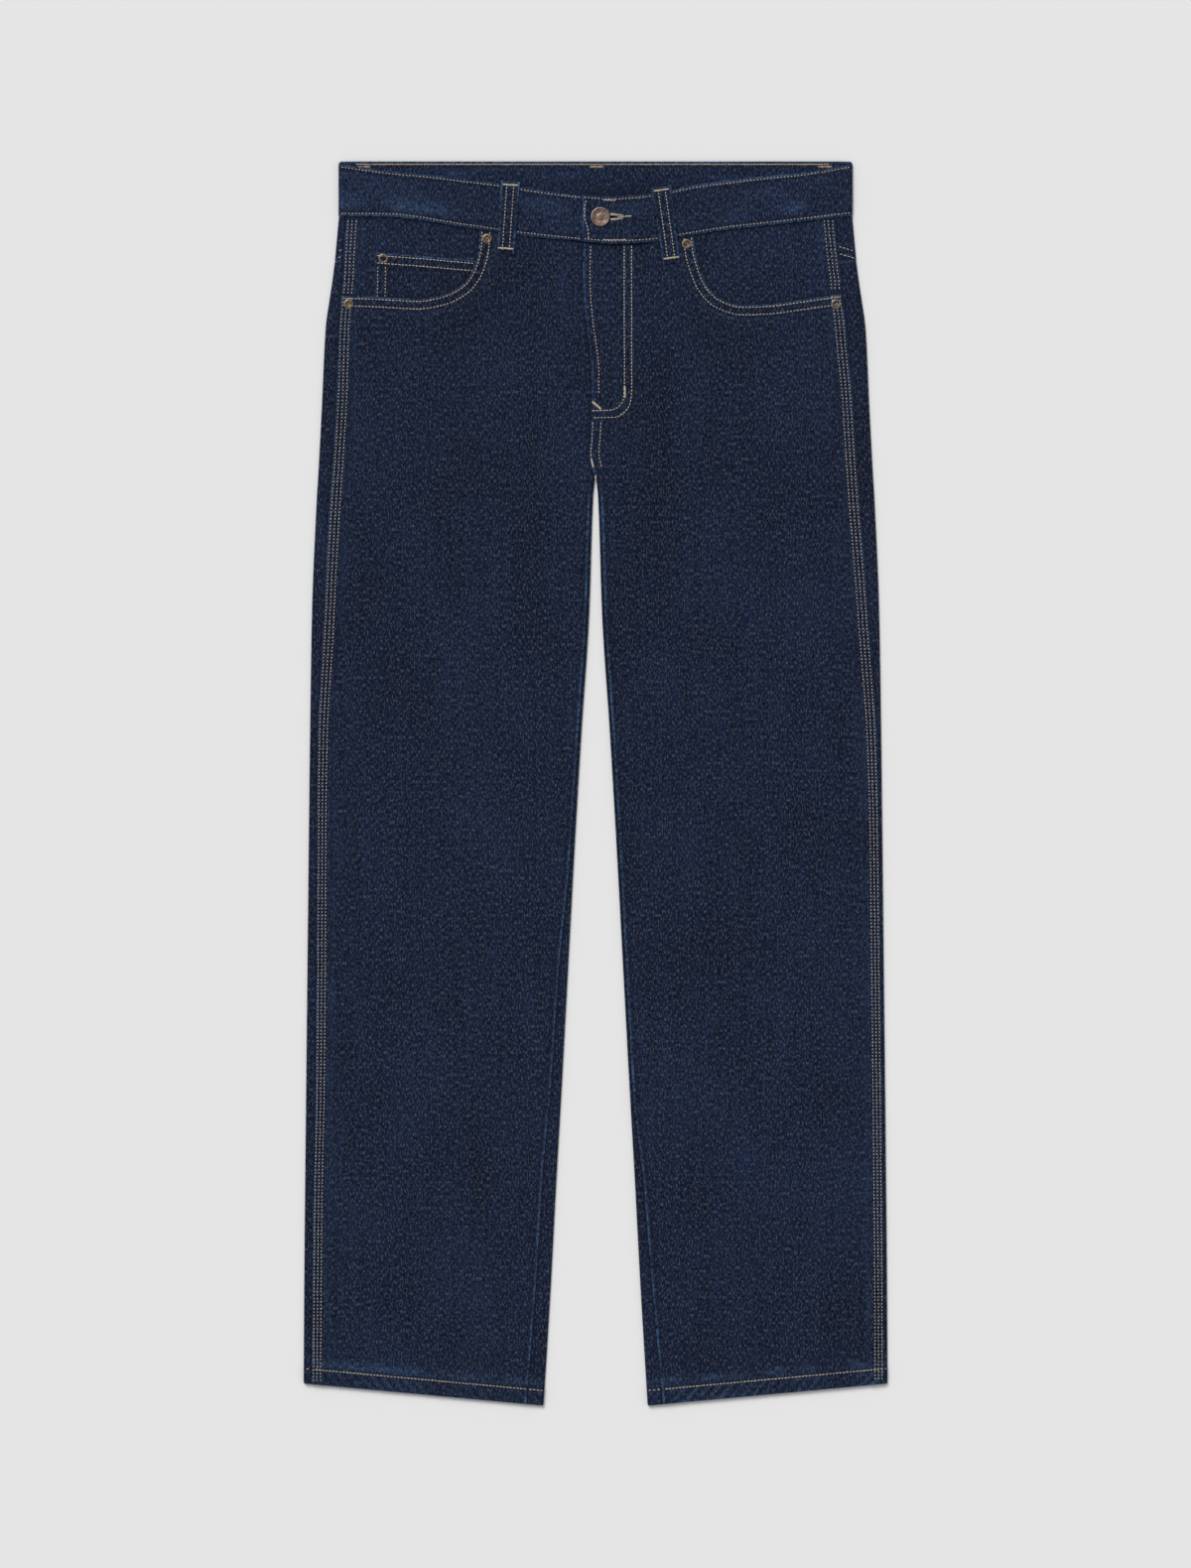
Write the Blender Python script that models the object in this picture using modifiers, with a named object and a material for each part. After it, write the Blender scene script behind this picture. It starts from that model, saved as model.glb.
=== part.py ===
"""Straight leg jeans laid flat on a surface with the front up.

+X is the wearer's left, +Y points to the waist and +Z up from the surface, where z is 0. The origin is under
the middle of the jeans. Lengths in the constants and tables are millimetres, and each mesh is made in metres.
"depth" is how far a place lies below the back edge of the waistband, towards the hems.
"""

import math

import bmesh
import bpy

MM = 0.001

# Driving sizes
LENGTH = 1065.0  # waistband to the lowest corner of the hems
CLOTH = 1.0  # one layer of denim
BAND = 1.6  # the folded waistband
HEM = 1.8  # the wall over the turned-up hem
HEM_HEIGHT = 14.0
GAP = 0.3  # between pieces that touch or meet at a seam
LAYER = CLOTH + GAP
YOKE_SEAM = {"middle": 120.0, "side": 86.0}  # depth of the yoke seam at the back's middle and at the sides
FLAT_DEPTH = 240.0  # rows of cloth lie straight across from here down
HEM_TILT_DEPTH = 700.0  # and start to follow the sloping hems here
HEM_OUTER = 1046.0  # depth of a hem's outer corner, and LENGTH is that of its inner one
CROTCH = 270.0
BED_END = 370.0  # the pockets and loops underneath hold the cloth up as far down as this
BED_RAMP = 60.0
SOFT_RISE = 11.0  # how far from a fold the underside takes to rise over them
QUICK_RISE = 4.0  # and the layers above it
UNDER_SCOOP = 13.0  # how far a facing runs on under the scoop's edge
COIN_UNDER_SCOOP = 8.0
CROTCH_EASE = 0.65  # the cloth comes down more slowly towards the crotch than towards a fold
FOLD_STEPS = 4

# The laid outline and seams. outer and inner are a leg's edges, measured from the middle of the jeans. The
# seam columns give how far in from those edges each seam lies on the front side.
SECTION_COLUMNS = (
    "depth", "outer", "inner", "outseam_right", "outseam_left", "inseam_right", "inseam_left",
)
SECTIONS = [
    (0, 220.0, 0.0, 6.0, 13.0, 2.2, 2.2),
    (47, 219.7, 0.0, 6.0, 15.0, 2.2, 2.2),
    (70, 221.5, 0.0, 6.5, 15.0, 2.2, 2.2),
    (100, 225.0, 0.0, 8.5, 15.0, 2.2, 2.2),
    (120, 228.0, 0.0, 10.0, 16.5, 2.2, 2.2),
    (142, 231.0, 0.0, 11.0, 16.5, 2.2, 2.2),
    (210, 234.3, 0.0, 12.0, 13.5, 2.2, 2.2),
    (270, 237.5, 0.5, 11.5, 13.0, 2.2, 2.2),
    (286, 238.5, 2.1, 11.3, 12.8, 2.2, 2.2),
    (388, 242.8, 5.6, 10.0, 9.0, 2.2, 2.2),
    (490, 244.4, 12.3, 6.5, 3.6, 2.4, 2.2),
    (592, 245.6, 18.3, 7.0, 2.6, 3.2, 2.2),
    (694, 246.7, 23.8, 7.7, 2.6, 7.4, 2.2),
    (796, 247.8, 29.3, 8.0, 2.6, 9.0, 2.4),
    (873, 248.6, 33.7, 7.2, 2.7, 11.7, 7.0),
    (960, 249.4, 38.3, 7.0, 2.8, 12.4, 9.6),
    (1065, 250.0, 44.6, 7.0, 3.2, 14.5, 13.0),
]

# The line where the two fronts meet, from the waistband down the fly's edge to the crotch.
FLY_COLUMNS = ("depth", "x")
FLY_LINE = [
    (60, -10.2), (102, -11.0), (137, -8.5), (162, -4.9), (180, -3.4), (212, -3.7), (237, -4.6),
    (250, -5.8), (261, -3.6), (270, -0.3),
]

# Upper and lower edge of the waistband's front half.
BAND_COLUMNS = ("x", "top", "bottom")
BAND_EDGES = [
    (-220.0, 2.5, 47.4), (-178.0, 8.3, 47.6), (-151.0, 10.8, 50.4), (-117.0, 14.8, 56.0),
    (-85.0, 18.7, 60.6), (-62.0, 22.4, 63.8), (-12.0, 28.9, 69.0), (15.0, 30.5, 71.2),
    (35.0, 29.4, 70.4), (55.0, 26.8, 68.4), (83.0, 20.8, 63.5), (113.0, 16.7, 58.8),
    (143.0, 13.2, 55.6), (178.0, 9.6, 51.6), (220.0, 2.5, 46.6),
]
BACK_BAND_BOTTOM = 44.0  # the back half is straight and hangs to here in its middle
OVER_END = -11.2  # the buttoned end of the band starts here
UNDER_END = 34.0  # the end beneath it stops here
OVER_END_STEP = (36.0, 54.0)  # past the under end the band steps down to the level of the rest

# The pocket openings, from the outseam to the waistband. x is measured from the middle, on either side.
SCOOP_COLUMNS = ("x", "depth")
SCOOPS = {
    "right": [
        (217.4, 115.4), (206.5, 115.6), (175.0, 117.0), (151.3, 118.2), (131.8, 114.8), (115.6, 107.1),
        (107.1, 97.4), (102.0, 85.0), (99.6, 73.0), (98.9, 58.5),
    ],
    "left": [
        (210.9, 114.0), (201.0, 115.2), (172.5, 119.2), (148.7, 122.2), (126.3, 123.2), (107.1, 117.7),
        (95.2, 105.8), (88.7, 90.1), (85.0, 75.6), (84.0, 63.3),
    ],
}
COIN_TOP = [(188.9, 78.2), (146.0, 81.4), (93.0, 86.2)]  # upper edge of the coin pocket

# A back pocket: its corners, x from the middle.
BACK_POCKET = [(180.0, 132.0), (172.0, 282.0), (114.0, 302.0), (58.0, 285.0), (45.0, 138.0)]

# Belt loops: middle of the upper and lower end and the width there.
LOOP_COLUMNS = ("name", "face", "top_x", "top", "top_width", "end_x", "end", "end_width")
LOOPS = [
    ("belt_loop_front_right", "front", -72.7, 17.6, 16.0, -76.7, 79.5, 14.0),
    ("belt_loop_front_left", "front", 56.3, 22.1, 16.6, 65.0, 87.5, 14.5),
    ("belt_loop_back_right", "back", -198.0, 1.0, 14.0, -198.0, 60.0, 14.0),
    ("belt_loop_back_centre", "back", 0.0, 1.0, 14.0, 0.0, 60.0, 14.0),
    ("belt_loop_back_left", "back", 198.0, 1.0, 14.0, 198.0, 60.0, 14.0),
]
LOOP_ARCH = 0.9  # how high a front loop stands over the band

# Metal
BUTTON_PLACE = (4.1, 48.0)
BUTTON_RADIUS = 8.2
SHANK_RADIUS = 1.8
EYE_RADIUS = 2.6
SLOT_END = 18.0  # the buttonhole runs to here
SLOT_WIDTH = 1.2
RIVET_RADIUS = 4.4
RIVET_COLUMNS = ("name", "x", "depth")
RIVETS = [
    ("rivet_scoop_top_right", -92.6, 66.6),
    ("rivet_coin_pocket", -181.6, 83.4),
    ("rivet_scoop_side_right", -211.2, 122.4),
    ("rivet_scoop_top_left", 77.9, 71.0),
    ("rivet_scoop_side_left", 205.6, 122.4),
]

SIDES = {"right": -1, "left": 1}


# ---------------------------------------------------------------- curves and steps


def ramp(value):
    """0 up to 0, 1 from 1 on, and a soft step between."""
    held = min(max(value, 0.0), 1.0)
    return held * held * (3.0 - 2.0 * held)


def curve_of(columns, table, across, up):
    """A smooth function through two columns of a table, that never overshoots between its rows."""
    places = [row[columns.index(across)] for row in table]
    values = [row[columns.index(up)] for row in table]
    slopes = [(b - a) / (q - p) for a, b, p, q in zip(values, values[1:], places, places[1:])]
    tangents = [slopes[0]]
    for before, after in zip(slopes, slopes[1:]):
        agree = before * after > 0
        tangents.append(2.0 * before * after / (before + after) if agree else 0.0)
    tangents.append(slopes[-1])

    def value_at(place):
        place = min(max(place, places[0]), places[-1])
        row = max(i for i in range(len(places) - 1) if places[i] <= place)
        span = places[row + 1] - places[row]
        t = (place - places[row]) / span
        return (
            (1 + 2 * t) * (1 - t) ** 2 * values[row]
            + t * t * (3 - 2 * t) * values[row + 1]
            + t * (1 - t) ** 2 * span * tangents[row]
            - t * t * (1 - t) * span * tangents[row + 1]
        )

    return value_at


SECTION = {name: curve_of(SECTION_COLUMNS, SECTIONS, "depth", name) for name in SECTION_COLUMNS[1:]}
fly_x = curve_of(FLY_COLUMNS, FLY_LINE, "depth", "x")
band_top = curve_of(BAND_COLUMNS, BAND_EDGES, "x", "top")
band_bottom = curve_of(BAND_COLUMNS, BAND_EDGES, "x", "bottom")


def back_band_bottom(x):
    return BACK_BAND_BOTTOM + (band_bottom(math.copysign(220.0, x)) - BACK_BAND_BOTTOM) * (x / 220.0) ** 2


def along(points, count):
    """count + 1 points, evenly spaced along a line through the given ones."""
    lengths = [0.0]
    for a, b in zip(points, points[1:]):
        lengths.append(lengths[-1] + math.dist(a, b))
    xs = curve_of(("s", "v"), [(s, p[0]) for s, p in zip(lengths, points)], "s", "v")
    ys = curve_of(("s", "v"), [(s, p[1]) for s, p in zip(lengths, points)], "s", "v")
    return [(xs(lengths[-1] * i / count), ys(lengths[-1] * i / count)) for i in range(count + 1)]


def mix(a, b, t):
    return a + (b - a) * t


# ---------------------------------------------------------------- heights of the layers


def edge_distance(x, depth):
    """How far inside the laid outline a place is, on its own leg."""
    outer = SECTION["outer"](depth) - abs(x)
    if depth < CROTCH:
        return min(outer, CROTCH_EASE * math.hypot(x, CROTCH - depth))
    return min(outer, abs(x) - SECTION["inner"](depth))


def bed(x, depth, rise):
    """How high the pockets and loops underneath hold the cloth here. rise is how soon it gets there."""
    from_fold = ramp((edge_distance(x, depth) - 1.3) / rise)
    return LAYER * from_fold * ramp((BED_END - depth) / BED_RAMP)


def wall(depth, tilt=0.0):
    """The thickness of a leg's cloth: one layer, and more over the hem."""
    into_hem = (depth - tilt) - (HEM_OUTER - HEM_HEIGHT)
    return mix(CLOTH, HEM, ramp(into_hem + 1.0))


def under_height(x, depth, thickness=CLOTH):
    """Middle of the back's cloth, next to the surface."""
    return thickness / 2 + bed(x, depth, SOFT_RISE)


def over_height(x, depth, thickness=CLOTH):
    """Middle of the lowest layer on the front side."""
    return thickness * 1.5 + GAP + bed(x, depth, QUICK_RISE)


def scoop_distance(side, x, depth):
    points = SCOOPS[side]
    nearest = 1e9
    for (ax, ay), (bx, by) in zip(points, points[1:]):
        span = (bx - ax) ** 2 + (by - ay) ** 2
        t = min(max(((abs(x) - ax) * (bx - ax) + (depth - ay) * (by - ay)) / span, 0.0), 1.0)
        nearest = min(nearest, math.hypot(abs(x) - mix(ax, bx, t), depth - mix(ay, by, t)))
    return nearest


def front_height(side, x, depth, thickness=CLOTH):
    """Middle of a front's cloth. It rises over the facing, and over the coin pocket on the right."""
    lift = 0.0
    if depth < 220:
        near = scoop_distance(side, x, depth)
        lift = LAYER * ramp((50.0 - near) / 28.0)
        if side == "right":
            beside = ramp((214.0 - abs(x)) / 14.0)
            lift += LAYER * ramp((38.0 - near) / 20.0) * beside * ramp((depth - 64.0) / 16.0)
    return over_height(x, depth, thickness) + lift


# ---------------------------------------------------------------- making objects


def material(name, colour, roughness, metallic=0.0):
    made = bpy.data.materials.get(name) or bpy.data.materials.new(name)
    made.use_nodes = True
    shader = made.node_tree.nodes["Principled BSDF"]
    shader.inputs["Base Color"].default_value = (*colour, 1.0)
    shader.inputs["Roughness"].default_value = roughness
    shader.inputs["Metallic"].default_value = metallic
    return made


def place(x, depth, z):
    """A point of a mesh, in metres, from x, depth and height in millimetres."""
    return (x * MM, (LENGTH / 2 - depth) * MM, z * MM)


def add_object(name, mesh, finish, collection):
    made = bpy.data.objects.new(name, mesh)
    mesh.materials.append(finish)
    collection.objects.link(made)
    return made


def cloth(name, grids, finish, collection, thickness):
    """A wall of cloth round the grids of (x, depth, z, wall) points, which share their common border."""
    mesh = bpy.data.meshes.new(name)
    work = bmesh.new()
    share = work.verts.layers.deform.verify()
    for grid in grids:
        rows = []
        for line in grid:
            rows.append([work.verts.new(place(*point[:3])) for point in line])
            for vert, point in zip(rows[-1], line):
                vert[share][0] = point[3] / thickness
        for upper, lower in zip(rows, rows[1:]):
            for i in range(len(upper) - 1):
                work.faces.new((upper[i], upper[i + 1], lower[i + 1], lower[i]))
    bmesh.ops.remove_doubles(work, verts=work.verts, dist=1e-6)
    bmesh.ops.recalc_face_normals(work, faces=work.faces)
    work.to_mesh(mesh)
    work.free()
    made = add_object(name, mesh, finish, collection)
    made.vertex_groups.new(name="wall")
    solid = made.modifiers.new("wall", "SOLIDIFY")
    solid.thickness = thickness * MM
    solid.offset = 0.0
    solid.use_even_offset = True
    solid.vertex_group = "wall"
    mesh.shade_smooth()
    mesh.set_sharp_from_angle(angle=math.radians(40))
    return made


def even(points, thickness=CLOTH):
    """The same grid with one thickness all over."""
    return [[(*point, thickness) for point in line] for line in points]


# ---------------------------------------------------------------- back and yoke


def row_depth(x, depth_in, depth_out):
    """Depth along a row, which runs straight from a leg's outer edge to its inner one."""
    outer = SECTION["outer"](depth_out)
    inner = SECTION["inner"](depth_in)
    return mix(depth_out, depth_in, (outer - x) / (outer - inner))


def under_strip(side, depth_in, depth_out, thickness):
    """One row of the back's cloth: over the bottom from the middle, round the fold and on to the outseam."""
    sign = SIDES[side]
    outer = SECTION["outer"](depth_out)
    fold = thickness + GAP / 2  # from the edge to where its fold starts
    radius = (thickness + GAP) / 2
    seam = SECTION["outseam_" + side](depth_out) - GAP / 2
    inner = SECTION["inner"](depth_in) + fold if depth_in >= CROTCH else GAP / 2
    stops = [0.0, 0.06, 0.2, 0.4, 0.6, 0.8]
    flat = [mix(inner, outer - fold - SOFT_RISE, stop / 0.8) for stop in stops] + [outer - fold]
    row = []
    for x in flat:
        depth = row_depth(x, depth_in, depth_out)
        row.append((sign * x, depth, under_height(x, depth, thickness)))
    for step in range(1, FOLD_STEPS):
        angle = math.pi * step / FOLD_STEPS
        x = outer - fold + radius * math.sin(angle)
        depth = row_depth(x, depth_in, depth_out)
        row.append((sign * x, depth, thickness / 2 + radius * (1 - math.cos(angle))))
    middle = min(fold + QUICK_RISE, (fold + seam) / 2)
    for inside in (fold, middle, seam):
        x = outer - inside
        depth = row_depth(x, depth_in, depth_out)
        row.append((sign * x, depth, over_height(x, depth, thickness)))
    return [(*point, thickness) for point in row]


def inner_strip(side, depth_in, depth_out, thickness):
    """Where the back wraps round a leg's inner edge: from the bottom round the fold to the inseam."""
    sign = SIDES[side]
    inner = SECTION["inner"](depth_in)
    fold = thickness + GAP / 2
    radius = (thickness + GAP) / 2
    seam = SECTION["inseam_" + side](depth_in) - GAP / 2
    start = row_depth(inner + fold, depth_in, depth_out)
    row = [(sign * (inner + fold), start, under_height(inner + fold, start, thickness))]
    for step in range(1, FOLD_STEPS):
        angle = math.pi * step / FOLD_STEPS
        x = inner + fold - radius * math.sin(angle)
        depth = row_depth(x, depth_in, depth_out)
        row.append((sign * x, depth, thickness / 2 + radius * (1 - math.cos(angle))))
    for inside in (fold, seam):
        x = inner + inside
        depth = row_depth(x, depth_in, depth_out)
        row.append((sign * x, depth, over_height(x, depth, thickness)))
    return [(*point, thickness) for point in row]


def hem_tilt(depth_out):
    """How much lower a row lies at a leg's inner edge, because the hems slope."""
    return (LENGTH - HEM_OUTER) * max(depth_out - HEM_TILT_DEPTH, 0.0) / (HEM_OUTER - HEM_TILT_DEPTH)


def yoke_drop(depth_out):
    """How much lower a row of the back lies at its middle, because the yoke seam dips there."""
    drop = YOKE_SEAM["middle"] - YOKE_SEAM["side"]
    return drop * (1.0 - ramp((depth_out - YOKE_SEAM["side"]) / (FLAT_DEPTH - YOKE_SEAM["side"])))


LEG_ROWS = [270, 285, 310, 340, 370, 430, 490, 560, 630, 700, 770, 840, 910, 975, 1030, 1032, 1046]


def make_back(side, finish, collection):
    seam = YOKE_SEAM["side"] + GAP / 2
    hip_rows = [seam, 104, 123, 145, 170, 195, 220, 240, 258]
    rows = [(depth + yoke_drop(depth), depth) for depth in hip_rows]
    rows += [(depth + hem_tilt(depth), depth) for depth in LEG_ROWS]
    main = [under_strip(side, inner, outer, wall(outer)) for inner, outer in rows]
    wrapped = [inner_strip(side, *row, wall(row[1])) for row in rows if row[1] >= CROTCH]
    return cloth("back_" + side, [main, wrapped], finish, collection, HEM)


def make_yoke(side, finish, collection):
    sign = SIDES[side]
    top = under_strip(side, BACK_BAND_BOTTOM + GAP, band_bottom(sign * 220.0) + GAP, CLOTH)
    end = under_strip(side, YOKE_SEAM["middle"] - GAP / 2, YOKE_SEAM["side"] - GAP / 2, CLOTH)
    edge = 10 - FOLD_STEPS + FOLD_STEPS // 2  # the middle of the fold in a row's points
    grid = []
    for step in range(4):
        line = []
        for number, (upper, lower) in enumerate(zip(top, end)):
            x = mix(upper[0], lower[0], step / 3)
            start = back_band_bottom(x) if number < edge else band_bottom(x)
            depth = mix(start + GAP, lower[1], step / 3)
            flat = number < edge - FOLD_STEPS // 2
            over = number > edge + FOLD_STEPS // 2
            z = mix(upper[2], lower[2], step / 3)
            z = under_height(x, depth) if flat else over_height(x, depth) if over else z
            line.append((x, depth, z, CLOTH))
        grid.append(line)
    return cloth("yoke_" + side, [grid], finish, collection, CLOTH)


# ---------------------------------------------------------------- fronts


def front_top(side):
    """The front's upper edge, from the outseam along the scoop, then under the waistband to the fly."""
    scoop = along(SCOOPS[side], 9)
    start = scoop[-1][0]
    sign = SIDES[side]
    end = sign * fly_x(70.0) + GAP / 2
    waist = []
    for step in range(1, 5):
        x = mix(start, end, step / 4)
        waist.append((x, band_bottom(sign * x) + GAP))
    scoop[-1] = (start, band_bottom(sign * start) + GAP)
    return scoop + waist


def front_row(side, depth_out, shares):
    """x and depth across a front at one height, from the outseam to the fly or the inseam."""
    sign = SIDES[side]
    depth_in = depth_out + hem_tilt(depth_out)
    outer = SECTION["outer"](depth_out) - SECTION["outseam_" + side](depth_out) - GAP / 2
    inner = sign * fly_x(depth_in) + GAP / 2
    if depth_in >= CROTCH:
        inner = SECTION["inner"](depth_in) + SECTION["inseam_" + side](depth_in) + GAP / 2
    xs = [mix(outer, inner, share) for share in shares]
    return [(x, row_depth(x, depth_in, depth_out)) for x in xs]


def make_front(side, finish, collection):
    sign = SIDES[side]
    top = front_top(side)
    scoop_share, waist_share = 0.57, 0.9
    shares = [scoop_share * i / 9 for i in range(10)]
    shares += [mix(scoop_share, waist_share, i / 2) for i in (1, 2)] + [0.955, 1.0]
    first = front_row(side, 150.0, shares)
    blend = [[(mix(a[0], b[0], t), mix(a[1], b[1], t)) for a, b in zip(top, first)] for t in (0.0, 0.3, 0.65)]
    edge = [sign * fly_x(line[-1][1]) + GAP / 2 for line in blend]
    for line, x in zip(blend, edge):
        line[-1] = (x, line[-1][1])
    rows = blend + [front_row(side, depth, shares) for depth in (150, 170, 195, 220, 240, 258, *LEG_ROWS)]
    walls = [CLOTH] * 3 + [wall(depth) for depth in (150, 170, 195, 220, 240, 258, *LEG_ROWS)]
    grid = []
    for row, thick in zip(rows, walls):
        grid.append([(sign * x, depth, front_height(side, x, depth, thick), thick) for x, depth in row])
    return cloth("front_" + side, [grid], finish, collection, HEM)


# ---------------------------------------------------------------- pocket pieces


def scoop_offset(side, away):
    """The scoop's line moved towards the front panel, as hidden edges run."""
    moved = []
    points = SCOOPS[side]
    for number, (x, depth) in enumerate(points):
        before, after = points[max(number - 1, 0)], points[min(number + 1, len(points) - 1)]
        dx, dy = after[0] - before[0], after[1] - before[1]
        size = math.hypot(dx, dy)
        moved.append((x + dy / size * away, depth - dx / size * away))
    return moved


def make_facing(side, finish, collection):
    sign = SIDES[side]
    lower = along(scoop_offset(side, UNDER_SCOOP), 9)
    seam = SECTION["outer"](60.0) - SECTION["outseam_" + side](60.0) - GAP / 2
    start = (seam, lower[-1][0])
    grid = []
    for step in range(4):
        line = []
        for number, (x_low, depth_low) in enumerate(lower):
            x_top = mix(*start, number / 9)
            top = band_bottom(sign * x_top) + 2 * GAP
            low = max(depth_low, top + 3.0)
            x = mix(x_top, x_low, step / 3)
            depth = mix(top, low, step / 3)
            if number == 0:
                x = SECTION["outer"](depth) - SECTION["outseam_" + side](depth) - GAP
            line.append((sign * x, depth, over_height(x, depth)))
        grid.append(line)
    return cloth("pocket_facing_" + side, [even(grid)], finish, collection, CLOTH)


def make_coin_pocket(finish, collection):
    hidden = [point for point in scoop_offset("right", COIN_UNDER_SCOOP) if point[1] > COIN_TOP[-1][1] + 2]
    corner = (COIN_TOP[0][0] + 0.6, COIN_TOP[0][1] + 49.0)
    low = along([corner] + [point for point in hidden if point[0] < corner[0] - 4], 7)
    top = along(COIN_TOP, 7)
    grid = []
    for step in range(4):
        line = []
        for (x_top, depth_top), (x_low, depth_low) in zip(top, low):
            x = mix(x_top, x_low, step / 3)
            depth = mix(depth_top, max(depth_low, depth_top + 3.0), step / 3)
            line.append((-x, depth, over_height(x, depth) + LAYER))
        grid.append(line)
    return cloth("coin_pocket", [even(grid)], finish, collection, CLOTH)


def make_back_pocket(side, finish, collection):
    """A flat patch under the back, resting on the surface."""
    outline = bpy.data.curves.new("back_pocket_" + side, "CURVE")
    outline.dimensions = "2D"
    outline.fill_mode = "BOTH"
    outline.extrude = CLOTH * MM / 2
    line = outline.splines.new("POLY")
    line.points.add(len(BACK_POCKET) - 1)
    for point, (x, depth) in zip(line.points, BACK_POCKET):
        point.co = (*place(SIDES[side] * x, depth, 0.0), 1.0)
    line.use_cyclic_u = True
    made = add_object("back_pocket_" + side, outline, finish, collection)
    made.location.z = CLOTH * MM / 2
    return made


# ---------------------------------------------------------------- waistband and loops


def over_end(x):
    """How far the buttoned end is raised over the end beneath it."""
    start, end = OVER_END_STEP
    return (BAND + GAP) * ramp((end - x) / (end - start))


def band_front(x, lift=0.0, inset=0.0):
    edge = 220.0 - abs(x)
    level = BAND * 1.5 + GAP + LAYER * ramp((edge - 1.3) / QUICK_RISE) + lift
    return (x, band_top(x) + inset, band_bottom(x) - inset, level)


def band_back(x):
    edge = 220.0 - abs(x)
    level = BAND / 2 + LAYER * ramp((edge - 1.3) / SOFT_RISE)
    return (x, 0.0, back_band_bottom(x), level)


def band_fold(sign):
    """The band's turn at a side, from its front half to its back half."""
    radius = (BAND + GAP) / 2
    centre = 220.0 - BAND / 2 - radius
    front, back = band_front(sign * 220.0), band_back(sign * 220.0)
    turn = []
    for step in range(1, FOLD_STEPS):
        share = step / FOLD_STEPS
        x = sign * (centre + radius * math.sin(math.pi * share))
        top, bottom = mix(front[1], back[1], share), mix(front[2], back[2], share)
        turn.append((x, top, bottom, BAND / 2 + radius * (1 + math.cos(math.pi * share))))
    return turn


def make_waistband(finish, collection):
    """One strip: from the buttoned end round the left side, the back and the right side to the under end."""
    side = 220.0 - BAND - GAP / 2
    stops = [60, 75, 90, 115, 140, 165, 190, 204, 213, side]
    path = [band_front(x, over_end(x)) for x in (OVER_END, 0, 12, 24, 36, 45, 54, *stops)]
    path += band_fold(1)
    path += [band_back(x) for x in (side, side - SOFT_RISE, 190, 140, 90, 45, 0)]
    path += [band_back(-x) for x in (45, 90, 140, 190, side - SOFT_RISE, side)]
    path += reversed(band_fold(-1))
    path += [band_front(-x) for x in reversed(stops)]
    path += [band_front(x, inset=0.5) for x in (-45, -30, -20, OVER_END, 0, 12, 24, UNDER_END)]
    grid = []
    for step in range(3):
        grid.append([(x, mix(top, bottom, step / 2), z, BAND) for x, top, bottom, z in path])
    band = cloth("waistband", [grid], finish, collection, BAND)
    cut = band.modifiers.new("buttonhole", "BOOLEAN")
    cut.operation = "DIFFERENCE"
    cut.object = buttonhole_cutter()
    return band


def over_end_height():
    """The top of the buttoned end at the button."""
    return band_front(BUTTON_PLACE[0], over_end(BUTTON_PLACE[0]))[3] + BAND / 2


def buttonhole_cutter():
    """A keyhole: a round eye at the button's shank and a slot that runs away from the band's end."""
    x, depth = BUTTON_PLACE
    turned = [math.pi / 3 + math.pi * 4 / 3 * step / 10 for step in range(11)]
    half = SLOT_WIDTH / 2
    outline = [(x + EYE_RADIUS * math.cos(a), depth + EYE_RADIUS * math.sin(a)) for a in turned]
    outline += [(x + EYE_RADIUS, depth - half), (SLOT_END, depth - half)]
    outline += [(SLOT_END, depth + half), (x + EYE_RADIUS, depth + half)]
    floor = over_end_height() - BAND - GAP / 2
    work = bmesh.new()
    face = work.faces.new([work.verts.new(place(a, b, floor)) for a, b in outline])
    grown = bmesh.ops.extrude_face_region(work, geom=[face])
    risen = [item for item in grown["geom"] if isinstance(item, bmesh.types.BMVert)]
    bmesh.ops.translate(work, verts=risen, vec=(0, 0, (BAND + 2.0) * MM))
    bmesh.ops.recalc_face_normals(work, faces=work.faces)
    mesh = bpy.data.meshes.new("buttonhole_cutter")
    work.to_mesh(mesh)
    work.free()
    cutter = bpy.data.objects.new("buttonhole_cutter", mesh)
    cutter.hide_render = True
    cutter.display_type = "WIRE"
    CUTTERS.objects.link(cutter)
    return cutter


def under_front_loop(x, depth):
    """The top of what a front loop lies on."""
    if depth < band_bottom(x):
        return band_front(x)[3] + BAND / 2
    return front_height("right" if x < 0 else "left", x, depth) + CLOTH / 2


def make_loop(row, finish, collection):
    name, face, top_x, top, top_width, end_x, end, end_width = row
    steps = 8 if face == "front" else 4
    grid = []
    for step in range(steps + 1):
        share = step / steps
        x, depth = mix(top_x, end_x, share), mix(top, end, share)
        half = mix(top_width, end_width, share) / 2
        z = CLOTH / 2
        if face == "front":
            held = [under_front_loop(x + side, depth) for side in (-half, 0, half)]
            z += max(*held, under_front_loop(x, band_bottom(x) - 1)) + GAP
            z += LOOP_ARCH * math.sin(math.pi * share) ** 0.7
        grid.append([(x + side, depth, z, CLOTH) for side in (-half, half)])
    return cloth(name, [grid], finish, collection, CLOTH)


# ---------------------------------------------------------------- metal


def turned(name, profile, steps, finish, collection, where):
    """A turned piece, its (radius, z) profile run down its outer side, set at an x, depth and height."""
    mesh = bpy.data.meshes.new(name)
    verts = [(radius * MM, 0.0, z * MM) for radius, z in profile]
    mesh.from_pydata(verts, [(i, i + 1) for i in range(len(verts) - 1)], [])
    made = add_object(name, mesh, finish, collection)
    made.location = place(*where)
    spin = made.modifiers.new("turn", "SCREW")
    spin.steps = steps
    spin.render_steps = steps
    spin.use_merge_vertices = True
    spin.merge_threshold = 0.00001
    spin.use_smooth_shade = True
    return made


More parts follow.
